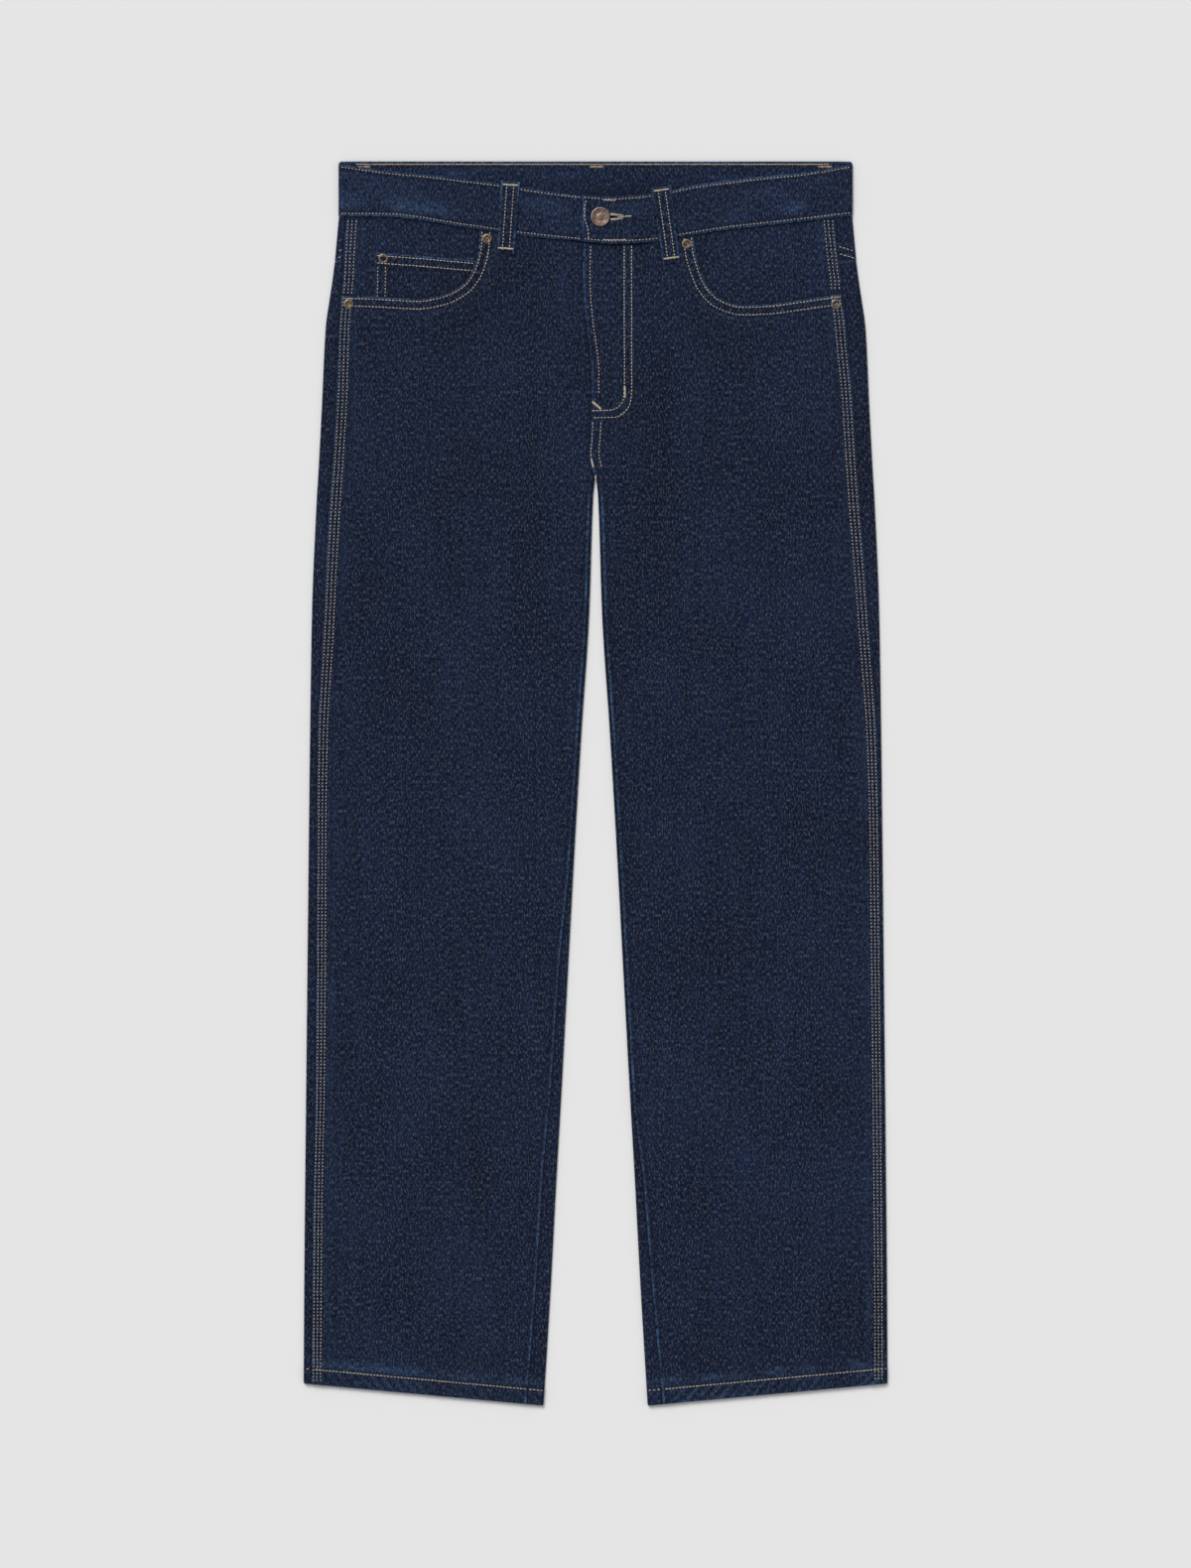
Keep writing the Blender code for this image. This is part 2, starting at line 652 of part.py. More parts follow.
BUTTON_PROFILE = [
    (0.0, 2.0), (5.6, 2.1), (6.2, 2.6), (7.4, 2.5), (BUTTON_RADIUS, 1.6), (BUTTON_RADIUS, 0.9), (7.4, 0.3),
    (SHANK_RADIUS, 0.3), (SHANK_RADIUS, -BAND), (0.0, -BAND),
]
RIVET_PROFILE = [(0.0, 0.9), (1.5, 0.7), (2.4, 1.2), (3.4, 1.1), (RIVET_RADIUS, 0.3), (4.1, 0.0), (0.0, 0.0)]


def make_button(finish, collection):
    where = (*BUTTON_PLACE, over_end_height())
    return turned("button", BUTTON_PROFILE, 24, finish, collection, where)


def make_rivet(row, finish, collection):
    name, x, depth = row
    side = "right" if x < 0 else "left"
    if name == "rivet_coin_pocket":
        top = over_height(x, depth) + LAYER + CLOTH / 2
    else:
        reach = [(x + a, depth + b) for a in (-4, 0, 4) for b in (-4, 0, 4)]
        top = max(front_height(side, *spot) for spot in reach) + CLOTH / 2
    return turned(name, RIVET_PROFILE, 16, finish, collection, (x, depth, top + GAP))


# ---------------------------------------------------------------- the jeans

for old in list(bpy.data.objects):
    bpy.data.objects.remove(old, do_unlink=True)

JEANS = bpy.data.collections.new("straight_leg_jeans")
CUTTERS = bpy.data.collections.new("cutters")
bpy.context.scene.collection.children.link(JEANS)
bpy.context.scene.collection.children.link(CUTTERS)

denim = material("denim", (0.017, 0.023, 0.040), 0.9)
denim_wrong_side = material("denim_waistband", (0.022, 0.029, 0.046), 0.9)
button_metal = material("button_copper", (0.16, 0.10, 0.08), 0.45, 1.0)
rivet_metal = material("rivet_copper", (0.30, 0.17, 0.10), 0.4, 1.0)

for side_name in SIDES:
    make_back(side_name, denim, JEANS)
    make_yoke(side_name, denim, JEANS)
    make_front(side_name, denim, JEANS)
    make_facing(side_name, denim, JEANS)
    make_back_pocket(side_name, denim, JEANS)
make_coin_pocket(denim, JEANS)
make_waistband(denim_wrong_side, JEANS)
for loop_row in LOOPS:
    make_loop(loop_row, denim, JEANS)
make_button(button_metal, JEANS)
for rivet_row in RIVETS:
    make_rivet(rivet_row, rivet_metal, JEANS)
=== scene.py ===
# %% [markdown]
# # Straight leg jeans, laid flat
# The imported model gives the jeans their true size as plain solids: fronts, backs, yokes, pockets,
# waistband, loops, a button and rivets. This lesson keeps those sizes and gives every piece its cloth, its
# stitches and its wear. All numbers for places are millimetres on the laid jeans, and each mesh is made in
# metres.

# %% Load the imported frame
import math

import bmesh
import bpy
import numpy as np
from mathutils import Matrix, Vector
from mathutils.bvhtree import BVHTree


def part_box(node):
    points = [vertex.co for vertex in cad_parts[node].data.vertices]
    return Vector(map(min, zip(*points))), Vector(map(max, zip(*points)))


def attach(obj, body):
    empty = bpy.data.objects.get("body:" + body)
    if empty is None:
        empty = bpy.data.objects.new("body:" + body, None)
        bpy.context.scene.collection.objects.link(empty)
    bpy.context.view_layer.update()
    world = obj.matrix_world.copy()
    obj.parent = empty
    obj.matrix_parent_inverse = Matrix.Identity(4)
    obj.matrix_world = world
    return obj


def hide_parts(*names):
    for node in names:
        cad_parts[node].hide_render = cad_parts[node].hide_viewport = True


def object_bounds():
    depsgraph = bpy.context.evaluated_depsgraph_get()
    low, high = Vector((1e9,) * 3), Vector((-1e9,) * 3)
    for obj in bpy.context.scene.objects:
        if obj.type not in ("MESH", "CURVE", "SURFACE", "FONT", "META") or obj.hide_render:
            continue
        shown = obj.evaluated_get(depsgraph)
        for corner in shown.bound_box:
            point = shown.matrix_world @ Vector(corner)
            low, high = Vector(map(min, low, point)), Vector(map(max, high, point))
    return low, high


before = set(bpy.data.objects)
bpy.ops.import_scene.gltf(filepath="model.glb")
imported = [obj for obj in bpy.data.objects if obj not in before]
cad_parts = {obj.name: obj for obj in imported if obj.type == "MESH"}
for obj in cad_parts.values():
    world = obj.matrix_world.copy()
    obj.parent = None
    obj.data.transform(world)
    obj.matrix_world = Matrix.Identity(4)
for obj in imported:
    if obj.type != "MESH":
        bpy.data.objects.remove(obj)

cad_low, cad_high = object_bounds()
bpy.ops.object.select_all(action="DESELECT")
MM = 0.001
LENGTH = round((cad_high.y - cad_low.y) / MM, 1)
print("jeans:", [round(side / MM, 1) for side in cad_high - cad_low], "mm,", len(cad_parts), "solids")

# %% [markdown]
# ## Camera, floor and light
# Jeans sold in a shop are often shown lying on a pale table with the camera straight above. A long lens
# keeps the outline free of perspective. A wide sun lamp and a bright sky act as one large soft box: they
# give an even floor and only a faint shadow at the cloth's edges. A small lamp would be simpler but draws
# hard shadows.

# %% Camera
VIEW_HEIGHT = 1.343  # metres of the table from the top of the view to its bottom
LENS = 100.0
camera = bpy.data.objects.new("camera", bpy.data.cameras.new("camera"))
bpy.context.scene.collection.objects.link(camera)
camera.data.lens = LENS
camera.location = (0.0, -0.0004, VIEW_HEIGHT * LENS / camera.data.sensor_width)
camera.data.clip_end = 20.0
bpy.context.scene.camera = camera
print("camera height:", round(camera.location.z, 3), "m")

# %% Floor and light
TABLE_COLOUR = (0.80, 0.80, 0.80, 1.0)
bpy.ops.mesh.primitive_plane_add(size=8.0, location=(0, 0, -0.0003))
floor = bpy.context.active_object
floor.name = "table"
table_paint = bpy.data.materials.new("table_paint")
table_paint.use_nodes = True
table_paint.node_tree.nodes["Principled BSDF"].inputs["Base Color"].default_value = TABLE_COLOUR
table_paint.node_tree.nodes["Principled BSDF"].inputs["Roughness"].default_value = 0.9
table_paint.node_tree.nodes["Principled BSDF"].inputs["Specular IOR Level"].default_value = 0.0
floor.data.materials.append(table_paint)

SUN_STRENGTH = 2.10
SKY_STRENGTH = 0.50
sun = bpy.data.objects.new("soft_box", bpy.data.lights.new("soft_box", "SUN"))
sun.data.energy = SUN_STRENGTH
sun.data.angle = math.radians(28)
sun.rotation_euler = (math.radians(-38), math.radians(-24), 0.0)
bpy.context.scene.collection.objects.link(sun)
sky = bpy.data.worlds.new("sky")
sky.use_nodes = True
sky.node_tree.nodes["Background"].inputs["Color"].default_value = (1.0, 1.0, 1.0, 1.0)
sky.node_tree.nodes["Background"].inputs["Strength"].default_value = SKY_STRENGTH
bpy.context.scene.world = sky
bpy.context.scene.view_settings.view_transform = "Standard"
print("light: sun", SUN_STRENGTH, "and sky", SKY_STRENGTH)

# %% [markdown]
# ## The pattern of the jeans
# A pattern cutter works from a few sizes and smooth curves, and so does this file. The tables below repeat
# the model's outline and seams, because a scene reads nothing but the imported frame. Each column is turned
# into a smooth function, which numpy can then ask for thousands of points at once.

# %% Sizes
CLOTH = 1.0  # one layer of denim
BAND = 1.6  # the folded waistband
HEM = 1.8
HEM_HEIGHT = 14.0
GAP = 0.3
LAYER = CLOTH + GAP
YOKE_SEAM = {"middle": 120.0, "side": 86.0}
FLAT_DEPTH = 240.0
HEM_TILT_DEPTH = 700.0
HEM_OUTER = 1046.0
CROTCH = 270.0
BED_END = 370.0
BED_RAMP = 60.0
SOFT_RISE = 11.0
QUICK_RISE = 4.0
UNDER_SCOOP = 13.0
COIN_UNDER_SCOOP = 8.0
CROTCH_EASE = 0.65
BACK_BAND_BOTTOM = 44.0
OVER_END = -11.2
UNDER_END = 34.0
OVER_END_STEP = (36.0, 54.0)
BAND_SIDE = 220.0
SIDES = {"right": -1, "left": 1}

SECTION_COLUMNS = (
    "depth", "outer", "inner", "outseam_right", "outseam_left", "inseam_right", "inseam_left",
)
SECTIONS = [
    (0, 220.0, 0.0, 6.0, 13.0, 2.2, 2.2),
    (47, 219.7, 0.0, 6.0, 15.0, 2.2, 2.2),
    (70, 221.5, 0.0, 6.5, 15.0, 2.2, 2.2),
    (100, 225.0, 0.0, 8.5, 15.0, 2.2, 2.2),
    (120, 228.0, 0.0, 10.0, 16.5, 2.2, 2.2),
    (142, 231.0, 0.0, 11.0, 16.5, 2.2, 2.2),
    (210, 234.3, 0.0, 12.0, 13.5, 2.2, 2.2),
    (270, 237.5, 0.5, 11.5, 13.0, 2.2, 2.2),
    (286, 238.5, 2.1, 11.3, 12.8, 2.2, 2.2),
    (388, 242.8, 5.6, 10.0, 9.0, 2.2, 2.2),
    (490, 244.4, 12.3, 6.5, 3.6, 2.4, 2.2),
    (592, 245.6, 18.3, 7.0, 2.6, 3.2, 2.2),
    (694, 246.7, 23.8, 7.7, 2.6, 7.4, 2.2),
    (796, 247.8, 29.3, 8.0, 2.6, 9.0, 2.4),
    (873, 248.6, 33.7, 7.2, 2.7, 11.7, 7.0),
    (960, 249.4, 38.3, 7.0, 2.8, 12.4, 9.6),
    (1065, 250.0, 44.6, 7.0, 3.2, 14.5, 13.0),
]
FLY_COLUMNS = ("depth", "x")
FLY_LINE = [
    (60, -10.2), (102, -11.0), (137, -8.5), (162, -4.9), (180, -3.4), (212, -3.7), (237, -4.6),
    (250, -5.8), (261, -3.6), (270, -0.3),
]
BAND_COLUMNS = ("x", "top", "bottom")
BAND_EDGES = [
    (-220.0, 2.5, 47.4), (-178.0, 8.3, 47.6), (-151.0, 10.8, 50.4), (-117.0, 14.8, 56.0),
    (-85.0, 18.7, 60.6), (-62.0, 22.4, 63.8), (-12.0, 28.9, 69.0), (15.0, 30.5, 71.2),
    (35.0, 29.4, 70.4), (55.0, 26.8, 68.4), (83.0, 20.8, 63.5), (113.0, 16.7, 58.8),
    (143.0, 13.2, 55.6), (178.0, 9.6, 51.6), (220.0, 2.5, 46.6),
]
SCOOPS = {
    "right": [
        (217.4, 115.4), (206.5, 115.6), (175.0, 117.0), (151.3, 118.2), (131.8, 114.8), (115.6, 107.1),
        (107.1, 97.4), (102.0, 85.0), (99.6, 73.0), (98.9, 58.5),
    ],
    "left": [
        (210.9, 114.0), (201.0, 115.2), (172.5, 119.2), (148.7, 122.2), (126.3, 123.2), (107.1, 117.7),
        (95.2, 105.8), (88.7, 90.1), (85.0, 75.6), (84.0, 63.3),
    ],
}
COIN_TOP = [(188.9, 78.2), (146.0, 81.4), (93.0, 86.2)]
BACK_POCKET = [(180.0, 132.0), (172.0, 282.0), (114.0, 302.0), (58.0, 285.0), (45.0, 138.0)]
LOOPS = [
    ("belt_loop_front_right", "front", -72.7, 17.6, 16.0, -76.7, 79.5, 14.0),
    ("belt_loop_front_left", "front", 56.3, 22.1, 16.6, 65.0, 87.5, 14.5),
    ("belt_loop_back_right", "back", -198.0, 1.0, 14.0, -198.0, 60.0, 14.0),
    ("belt_loop_back_centre", "back", 0.0, 1.0, 14.0, 0.0, 60.0, 14.0),
    ("belt_loop_back_left", "back", 198.0, 1.0, 14.0, 198.0, 60.0, 14.0),
]
print("sections:", len(SECTIONS), "loops:", len(LOOPS))


# %% Smooth functions
def ramp(value):
    """0 up to 0, 1 from 1 on, and a soft step between."""
    held = np.clip(value, 0.0, 1.0)
    return held * held * (3.0 - 2.0 * held)


def mix(a, b, t):
    return a + (b - a) * t


def close_to(value, place, width):
    """1 at a place and soon 0 away from it, as a soft line of that half width."""
    return np.exp(-(((value - place) / width) ** 2))


def curve_of(columns, table, across, up):
    """A smooth function through two columns of a table, that never overshoots between its rows."""
    rows = np.array([[row[columns.index(across)], row[columns.index(up)]] for row in table], float)
    places, values = rows[:, 0], rows[:, 1]
    slopes = np.diff(values) / np.diff(places)
    tangents = np.zeros(len(places))
    tangents[0], tangents[-1] = slopes[0], slopes[-1]
    for i in range(1, len(slopes)):
        before, after = slopes[i - 1], slopes[i]
        if before * after > 0:
            tangents[i] = 2.0 * before * after / (before + after)

    def value_at(place):
        place = np.clip(place, places[0], places[-1])
        row = np.clip(np.searchsorted(places, place, side="right") - 1, 0, len(places) - 2)
        span = places[row + 1] - places[row]
        t = (place - places[row]) / span
        return (
            (1 + 2 * t) * (1 - t) ** 2 * values[row]
            + t * t * (3 - 2 * t) * values[row + 1]
            + t * (1 - t) ** 2 * span * tangents[row]
            - t * t * (1 - t) * span * tangents[row + 1]
        )

    return value_at


SECTION = {name: curve_of(SECTION_COLUMNS, SECTIONS, "depth", name) for name in SECTION_COLUMNS[1:]}
fly_x = curve_of(FLY_COLUMNS, FLY_LINE, "depth", "x")
band_top = curve_of(BAND_COLUMNS, BAND_EDGES, "x", "top")
band_bottom = curve_of(BAND_COLUMNS, BAND_EDGES, "x", "bottom")


def back_band_bottom(x):
    end = band_bottom(np.copysign(BAND_SIDE, x))
    return BACK_BAND_BOTTOM + (end - BACK_BAND_BOTTOM) * (x / BAND_SIDE) ** 2


def path_through(points):
    """A function from 0..1 to evenly spaced points on a smooth line through some points, and its length."""
    points = np.array(points, float)
    steps = np.hypot(*np.diff(points, axis=0).T)
    lengths = np.concatenate([[0.0], np.cumsum(steps)])
    xs = curve_of(("s", "v"), list(zip(lengths, points[:, 0])), "s", "v")
    ys = curve_of(("s", "v"), list(zip(lengths, points[:, 1])), "s", "v")

    def point_at(share):
        return np.stack([xs(lengths[-1] * share), ys(lengths[-1] * share)], -1)

    return point_at, lengths[-1]


def graded(start, end, edge, fine, coarse):
    """Places from start to end: a fine spacing for the first and last stretch, and a coarse one between."""
    edge = min(edge, (end - start) / 3)
    near = np.linspace(start, start + edge, max(2, round(edge / fine)) + 1)
    middle = np.linspace(start + edge, end - edge, max(2, round((end - start - 2 * edge) / coarse)) + 1)
    far = np.linspace(end - edge, end, max(2, round(edge / fine)) + 1)
    return np.concatenate([near, middle[1:-1], far])


def ripple(a, b, size_a, size_b, seed):
    """Smooth unevenness from -1 to 1 over two directions, its bumps about that size."""
    lattice = np.random.default_rng(seed).uniform(-1.0, 1.0, (64, 64))
    a, b = np.asarray(a, float) / size_a, np.asarray(b, float) / size_b
    low_a, low_b = np.floor(a).astype(int), np.floor(b).astype(int)
    share_a, share_b = ramp(a - low_a), ramp(b - low_b)
    corner = [[lattice[(low_a + i) % 64, (low_b + j) % 64] for j in (0, 1)] for i in (0, 1)]
    return mix(mix(corner[0][0], corner[1][0], share_a), mix(corner[0][1], corner[1][1], share_a), share_b)


print("waistband at the fly:", float(band_top(0.0)), "to", float(band_bottom(0.0)), "mm deep")


# %% [markdown]
# ## How high each layer lies
# Laid jeans are a stack: pockets at the bottom, then the back, the fronts and the band. Each height here is
# the middle of a layer of cloth, worked out from the layers below, so nothing cuts through its neighbour.
# Physics could settle the stack, but cloth this stiff barely sags, and formulas keep every seam straight.

# %% Heights
def edge_distance(x, depth):
    """How far inside the laid outline a place is, on its own leg."""
    outer = SECTION["outer"](depth) - np.abs(x)
    crotch = CROTCH_EASE * np.hypot(x, np.maximum(CROTCH - depth, 0.0))
    inner = np.abs(x) - SECTION["inner"](depth)
    return np.minimum(outer, np.where(depth < CROTCH, crotch, inner))


def bed(x, depth, rise):
    from_fold = ramp((edge_distance(x, depth) - 1.3) / rise)
    return LAYER * from_fold * ramp((BED_END - depth) / BED_RAMP)


def wall(depth):
    """The thickness of a leg's cloth: one layer, and more over the hem."""
    into_hem = depth - (HEM_OUTER - HEM_HEIGHT)
    return mix(CLOTH, HEM, ramp(into_hem + 1.0))


def under_height(x, depth, thickness=CLOTH):
    return thickness / 2 + bed(x, depth, SOFT_RISE)


def over_height(x, depth, thickness=CLOTH):
    return thickness * 1.5 + GAP + bed(x, depth, QUICK_RISE)


def line_distance(points, x, depth):
    """Distance from places to a smooth line through some points, in slices to keep the arrays small."""
    point_at, length = path_through(points)
    line = point_at(np.linspace(0.0, 1.0, max(8, int(length / 2.0))))
    x, depth = np.broadcast_arrays(np.asarray(x, float), np.asarray(depth, float))
    flat = np.stack([x.ravel(), depth.ravel()], -1)
    start, span = line[:-1], np.diff(line, axis=0)
    nearest = np.full(len(flat), 1e9)
    for a, d in zip(start, span):
        t = np.clip(((flat - a) @ d) / (d @ d), 0.0, 1.0)
        nearest = np.minimum(nearest, np.hypot(*(flat - a - t[:, None] * d).T))
    return nearest.reshape(x.shape)


def scoop_distance(side, x, depth):
    near = np.full(np.broadcast(x, depth).shape, 1e3)
    close = np.broadcast_to(depth, near.shape) < 220
    xs, depths = np.broadcast_to(np.abs(x), near.shape), np.broadcast_to(depth, near.shape)
    near[close] = line_distance(SCOOPS[side], xs[close], depths[close])
    return near


def front_height(side, x, depth, thickness=CLOTH):
    """Middle of a front's cloth. It rises over the facing, and over the coin pocket on the right."""
    near = scoop_distance(side, x, depth)
    lift = LAYER * ramp((50.0 - near) / 28.0)
    if side == "right":
        beside = ramp((214.0 - np.abs(x)) / 14.0)
        lift = lift + LAYER * ramp((38.0 - near) / 20.0) * beside * ramp((depth - 64.0) / 16.0)
    return over_height(x, depth, thickness) + lift


def hem_tilt(depth_out):
    return (LENGTH - HEM_OUTER) * np.maximum(depth_out - HEM_TILT_DEPTH, 0.0) / (HEM_OUTER - HEM_TILT_DEPTH)


def yoke_drop(depth_out):
    drop = YOKE_SEAM["middle"] - YOKE_SEAM["side"]
    return drop * (1.0 - ramp((depth_out - YOKE_SEAM["side"]) / (FLAT_DEPTH - YOKE_SEAM["side"])))


def row_depth(x, depth_in, depth_out):
    outer = SECTION["outer"](depth_out)
    inner = SECTION["inner"](depth_in)
    return mix(depth_out, depth_in, (outer - x) / (outer - inner))


beside_fly = front_height("left", np.array([20.0]), np.array([100.0]))
print("front beside the fly:", round(float(beside_fly[0]), 2), "mm up")

# %% [markdown]
# ## Denim
# Denim is a twill of dark blue warp over a pale weft, so it shows fine slanting lines, pale flecks where
# the weft peeps out, and streaks along the warp. Rubbed edges turn light blue, and the ditches beside seams
# and under raised edges are painted dark as shade. Picture textures would be quick, but nodes stay sharp at
# any distance. The weave follows each piece's own UV map in metres, so it turns with the piece as it does
# when cloth is cut, and three attributes painted on the vertices say where the cloth is worn, where shade
# is painted and how faded it is; along the front creases and beside the left pocket mouth that last one
# holds painted shade and highlight.

# %% Node helpers
def new_finish(name):
    finish = bpy.data.materials.new(name)
    finish.use_nodes = True
    return finish, finish.node_tree, finish.node_tree.nodes["Principled BSDF"]


def add_node(tree, kind, **settings):
    made = tree.nodes.new(kind)
    for name, value in settings.items():
        setattr(made, name, value)
    return made


def calculate(tree, operation, a, b=0.0, clamp=False):
    """One step of arithmetic between sockets or numbers."""
    made = add_node(tree, "ShaderNodeMath", operation=operation, use_clamp=clamp)
    for socket, value in zip(made.inputs, (a, b)):
        if isinstance(value, (int, float)):
            socket.default_value = value
        else:
            tree.links.new(value, socket)
    return made.outputs[0]


def blend(tree, share, a, b, mode="MIX"):
    """One colour over another. share, a and b are sockets or values."""
    made = add_node(tree, "ShaderNodeMix", data_type="RGBA", blend_type=mode)
    made.clamp_factor = True
    for index, value in ((0, share), (6, a), (7, b)):
        socket = made.inputs[index]
        if isinstance(value, (int, float)):
            socket.default_value = value
        elif isinstance(value, tuple):
            socket.default_value = (*value, 1.0)
        else:
            tree.links.new(value, socket)
    return made.outputs[2]


def noise(tree, vector, stretch, scale, detail=2.0, roughness=0.5):
    """Noise in the piece's own directions, stretched along them."""
    turn = add_node(tree, "ShaderNodeMapping")
    turn.inputs["Scale"].default_value = (*stretch, 1.0)
    tree.links.new(vector, turn.inputs["Vector"])
    made = add_node(tree, "ShaderNodeTexNoise", noise_dimensions="2D")
    made.inputs["Scale"].default_value = scale
    made.inputs["Detail"].default_value = detail
    made.inputs["Roughness"].default_value = roughness
    tree.links.new(turn.outputs[0], made.inputs["Vector"])
    return made.outputs[0]


def step_between(tree, value, low, high):
    """0 below low and 1 above high."""
    made = add_node(tree, "ShaderNodeMapRange", interpolation_type="SMOOTHSTEP")
    made.inputs["From Min"].default_value = low
    made.inputs["From Max"].default_value = high
    tree.links.new(value, made.inputs["Value"])
    return made.outputs[0]


def painted(tree, name):
    made = add_node(tree, "ShaderNodeAttribute", attribute_type="GEOMETRY", attribute_name=name)
    return made.outputs["Fac"]


# %% Denim finish
TWILL_PITCH = 0.0011  # metres between two slanting lines
TWILL_SLANT = math.radians(28)
INDIGO = (0.0044, 0.0098, 0.0300)
# The colour of painted shade, mixed in where seam ditches and cloth under raised edges lie in shade.
SHADE_INDIGO = (0.0035, 0.0052, 0.0125)
WEFT_FLECK = (0.082, 0.092, 0.118)
RUBBED_BLUE = (0.060, 0.125, 0.255)


def denim_finish(name, base, fleck_share=1.0):
    finish, tree, shader = new_finish(name)
    cloth_uv = add_node(tree, "ShaderNodeUVMap", uv_map="cloth").outputs[0]
    turn = add_node(tree, "ShaderNodeMapping")
    turn.inputs["Rotation"].default_value = (0.0, 0.0, TWILL_SLANT)
    tree.links.new(cloth_uv, turn.inputs["Vector"])
    twill = add_node(tree, "ShaderNodeTexWave", wave_type="BANDS", bands_direction="X")
    twill.inputs["Scale"].default_value = 2 * math.pi / (20 * TWILL_PITCH)
    twill.inputs["Distortion"].default_value = 1.6
    twill.inputs["Detail"].default_value = 1.0
    tree.links.new(turn.outputs[0], twill.inputs["Vector"])
    twill = twill.outputs["Fac"]

    grain = noise(tree, cloth_uv, (1.0, 0.75), 560.0, 2.0, 0.65)
    slub = noise(tree, cloth_uv, (1.0, 0.35), 900.0, 1.0)
    streak = noise(tree, cloth_uv, (1.0, 0.03), 260.0, 2.0)
    cloud = noise(tree, cloth_uv, (1.0, 0.7), 14.0, 3.0)

    tone = 1.0
    for pattern, swing in ((grain, 4.6), (streak, 0.9), (cloud, 0.9), (twill, 0.7)):
        part = calculate(tree, "MULTIPLY", calculate(tree, "SUBTRACT", pattern, 0.5), swing)
        tone = calculate(tree, "ADD", part, tone)
    tone = calculate(tree, "MAXIMUM", tone, 0.18)
    # The fade attribute shifts the tone: mostly the denim's own fading, and in places painted shade and
    # highlight.
    tone = calculate(tree, "MULTIPLY", tone, calculate(tree, "ADD", painted(tree, "fade"), 1.0))
    scaled = add_node(tree, "ShaderNodeVectorMath", operation="SCALE")
    scaled.inputs[0].default_value = base
    tree.links.new(tone, scaled.inputs["Scale"])
    flecks = calculate(tree, "MULTIPLY", step_between(tree, slub, 0.50, 0.82), 0.75 * fleck_share)
    colour = blend(tree, flecks, scaled.outputs[0], WEFT_FLECK)

    mottle = step_between(tree, noise(tree, cloth_uv, (1.0, 1.0), 330.0, 3.0, 0.6), 0.32, 0.66)
    rubbed = calculate(tree, "MULTIPLY", painted(tree, "worn"), mottle, clamp=True)
    colour = blend(tree, rubbed, colour, RUBBED_BLUE)
    # Painted shade: darker where the attribute marks seam ditches and the cloth beside raised edges.
    colour = blend(tree, painted(tree, "painted_shade"), colour, SHADE_INDIGO)
    tree.links.new(colour, shader.inputs["Base Color"])

    height = calculate(tree, "ADD", calculate(tree, "MULTIPLY", twill, 0.5), grain)
    bump = add_node(tree, "ShaderNodeBump")
    bump.inputs["Strength"].default_value = 0.55
    bump.inputs["Distance"].default_value = 0.0004
    tree.links.new(height, bump.inputs["Height"])
    tree.links.new(bump.outputs[0], shader.inputs["Normal"])
    shader.inputs["Roughness"].default_value = 0.88
    shader.inputs["Specular IOR Level"].default_value = 0.10
    shader.inputs["Sheen Weight"].default_value = 0.03
    shader.inputs["Sheen Roughness"].default_value = 0.5
    return finish


denim = denim_finish("denim", INDIGO)
print("denim nodes:", len(denim.node_tree.nodes))


# %% [markdown]
# ## From a grid to a piece of cloth
# A flat panel is easiest to shape as a grid of points: rows run down the leg and columns across it, close
# together near the seams where the shape turns. The grid is one sheet of faces, and Solidify gives it the
# thickness of denim, less at a folded edge so that the fold looks round. Sculpting or a cloth simulation
# would also work, but a grid keeps every seam exactly where the pattern has it.

# %% Patches and shells
def patch(x, depth, z, thickness=CLOTH, worn=0.0, painted_shade=0.0, fade=0.0):
    """A grid of cloth in millimetres, with its wall and what the finish needs at each point: wear, painted shade
    and tone.
    """
    arrays = np.broadcast_arrays(x, depth, z, thickness, worn, painted_shade, fade)
    names = ("x", "depth", "z", "wall", "worn", "painted_shade", "fade")
    return {name: np.array(values, float) for name, values in zip(names, arrays)}


def round_edge(distance, radius=0.8):
    """How much of the wall is left near a folded edge, so that the fold is round."""
    inside = np.clip(distance / radius, 0.0, 1.0)
    return 0.30 + 0.70 * np.sqrt(1.0 - (1.0 - inside) ** 2)


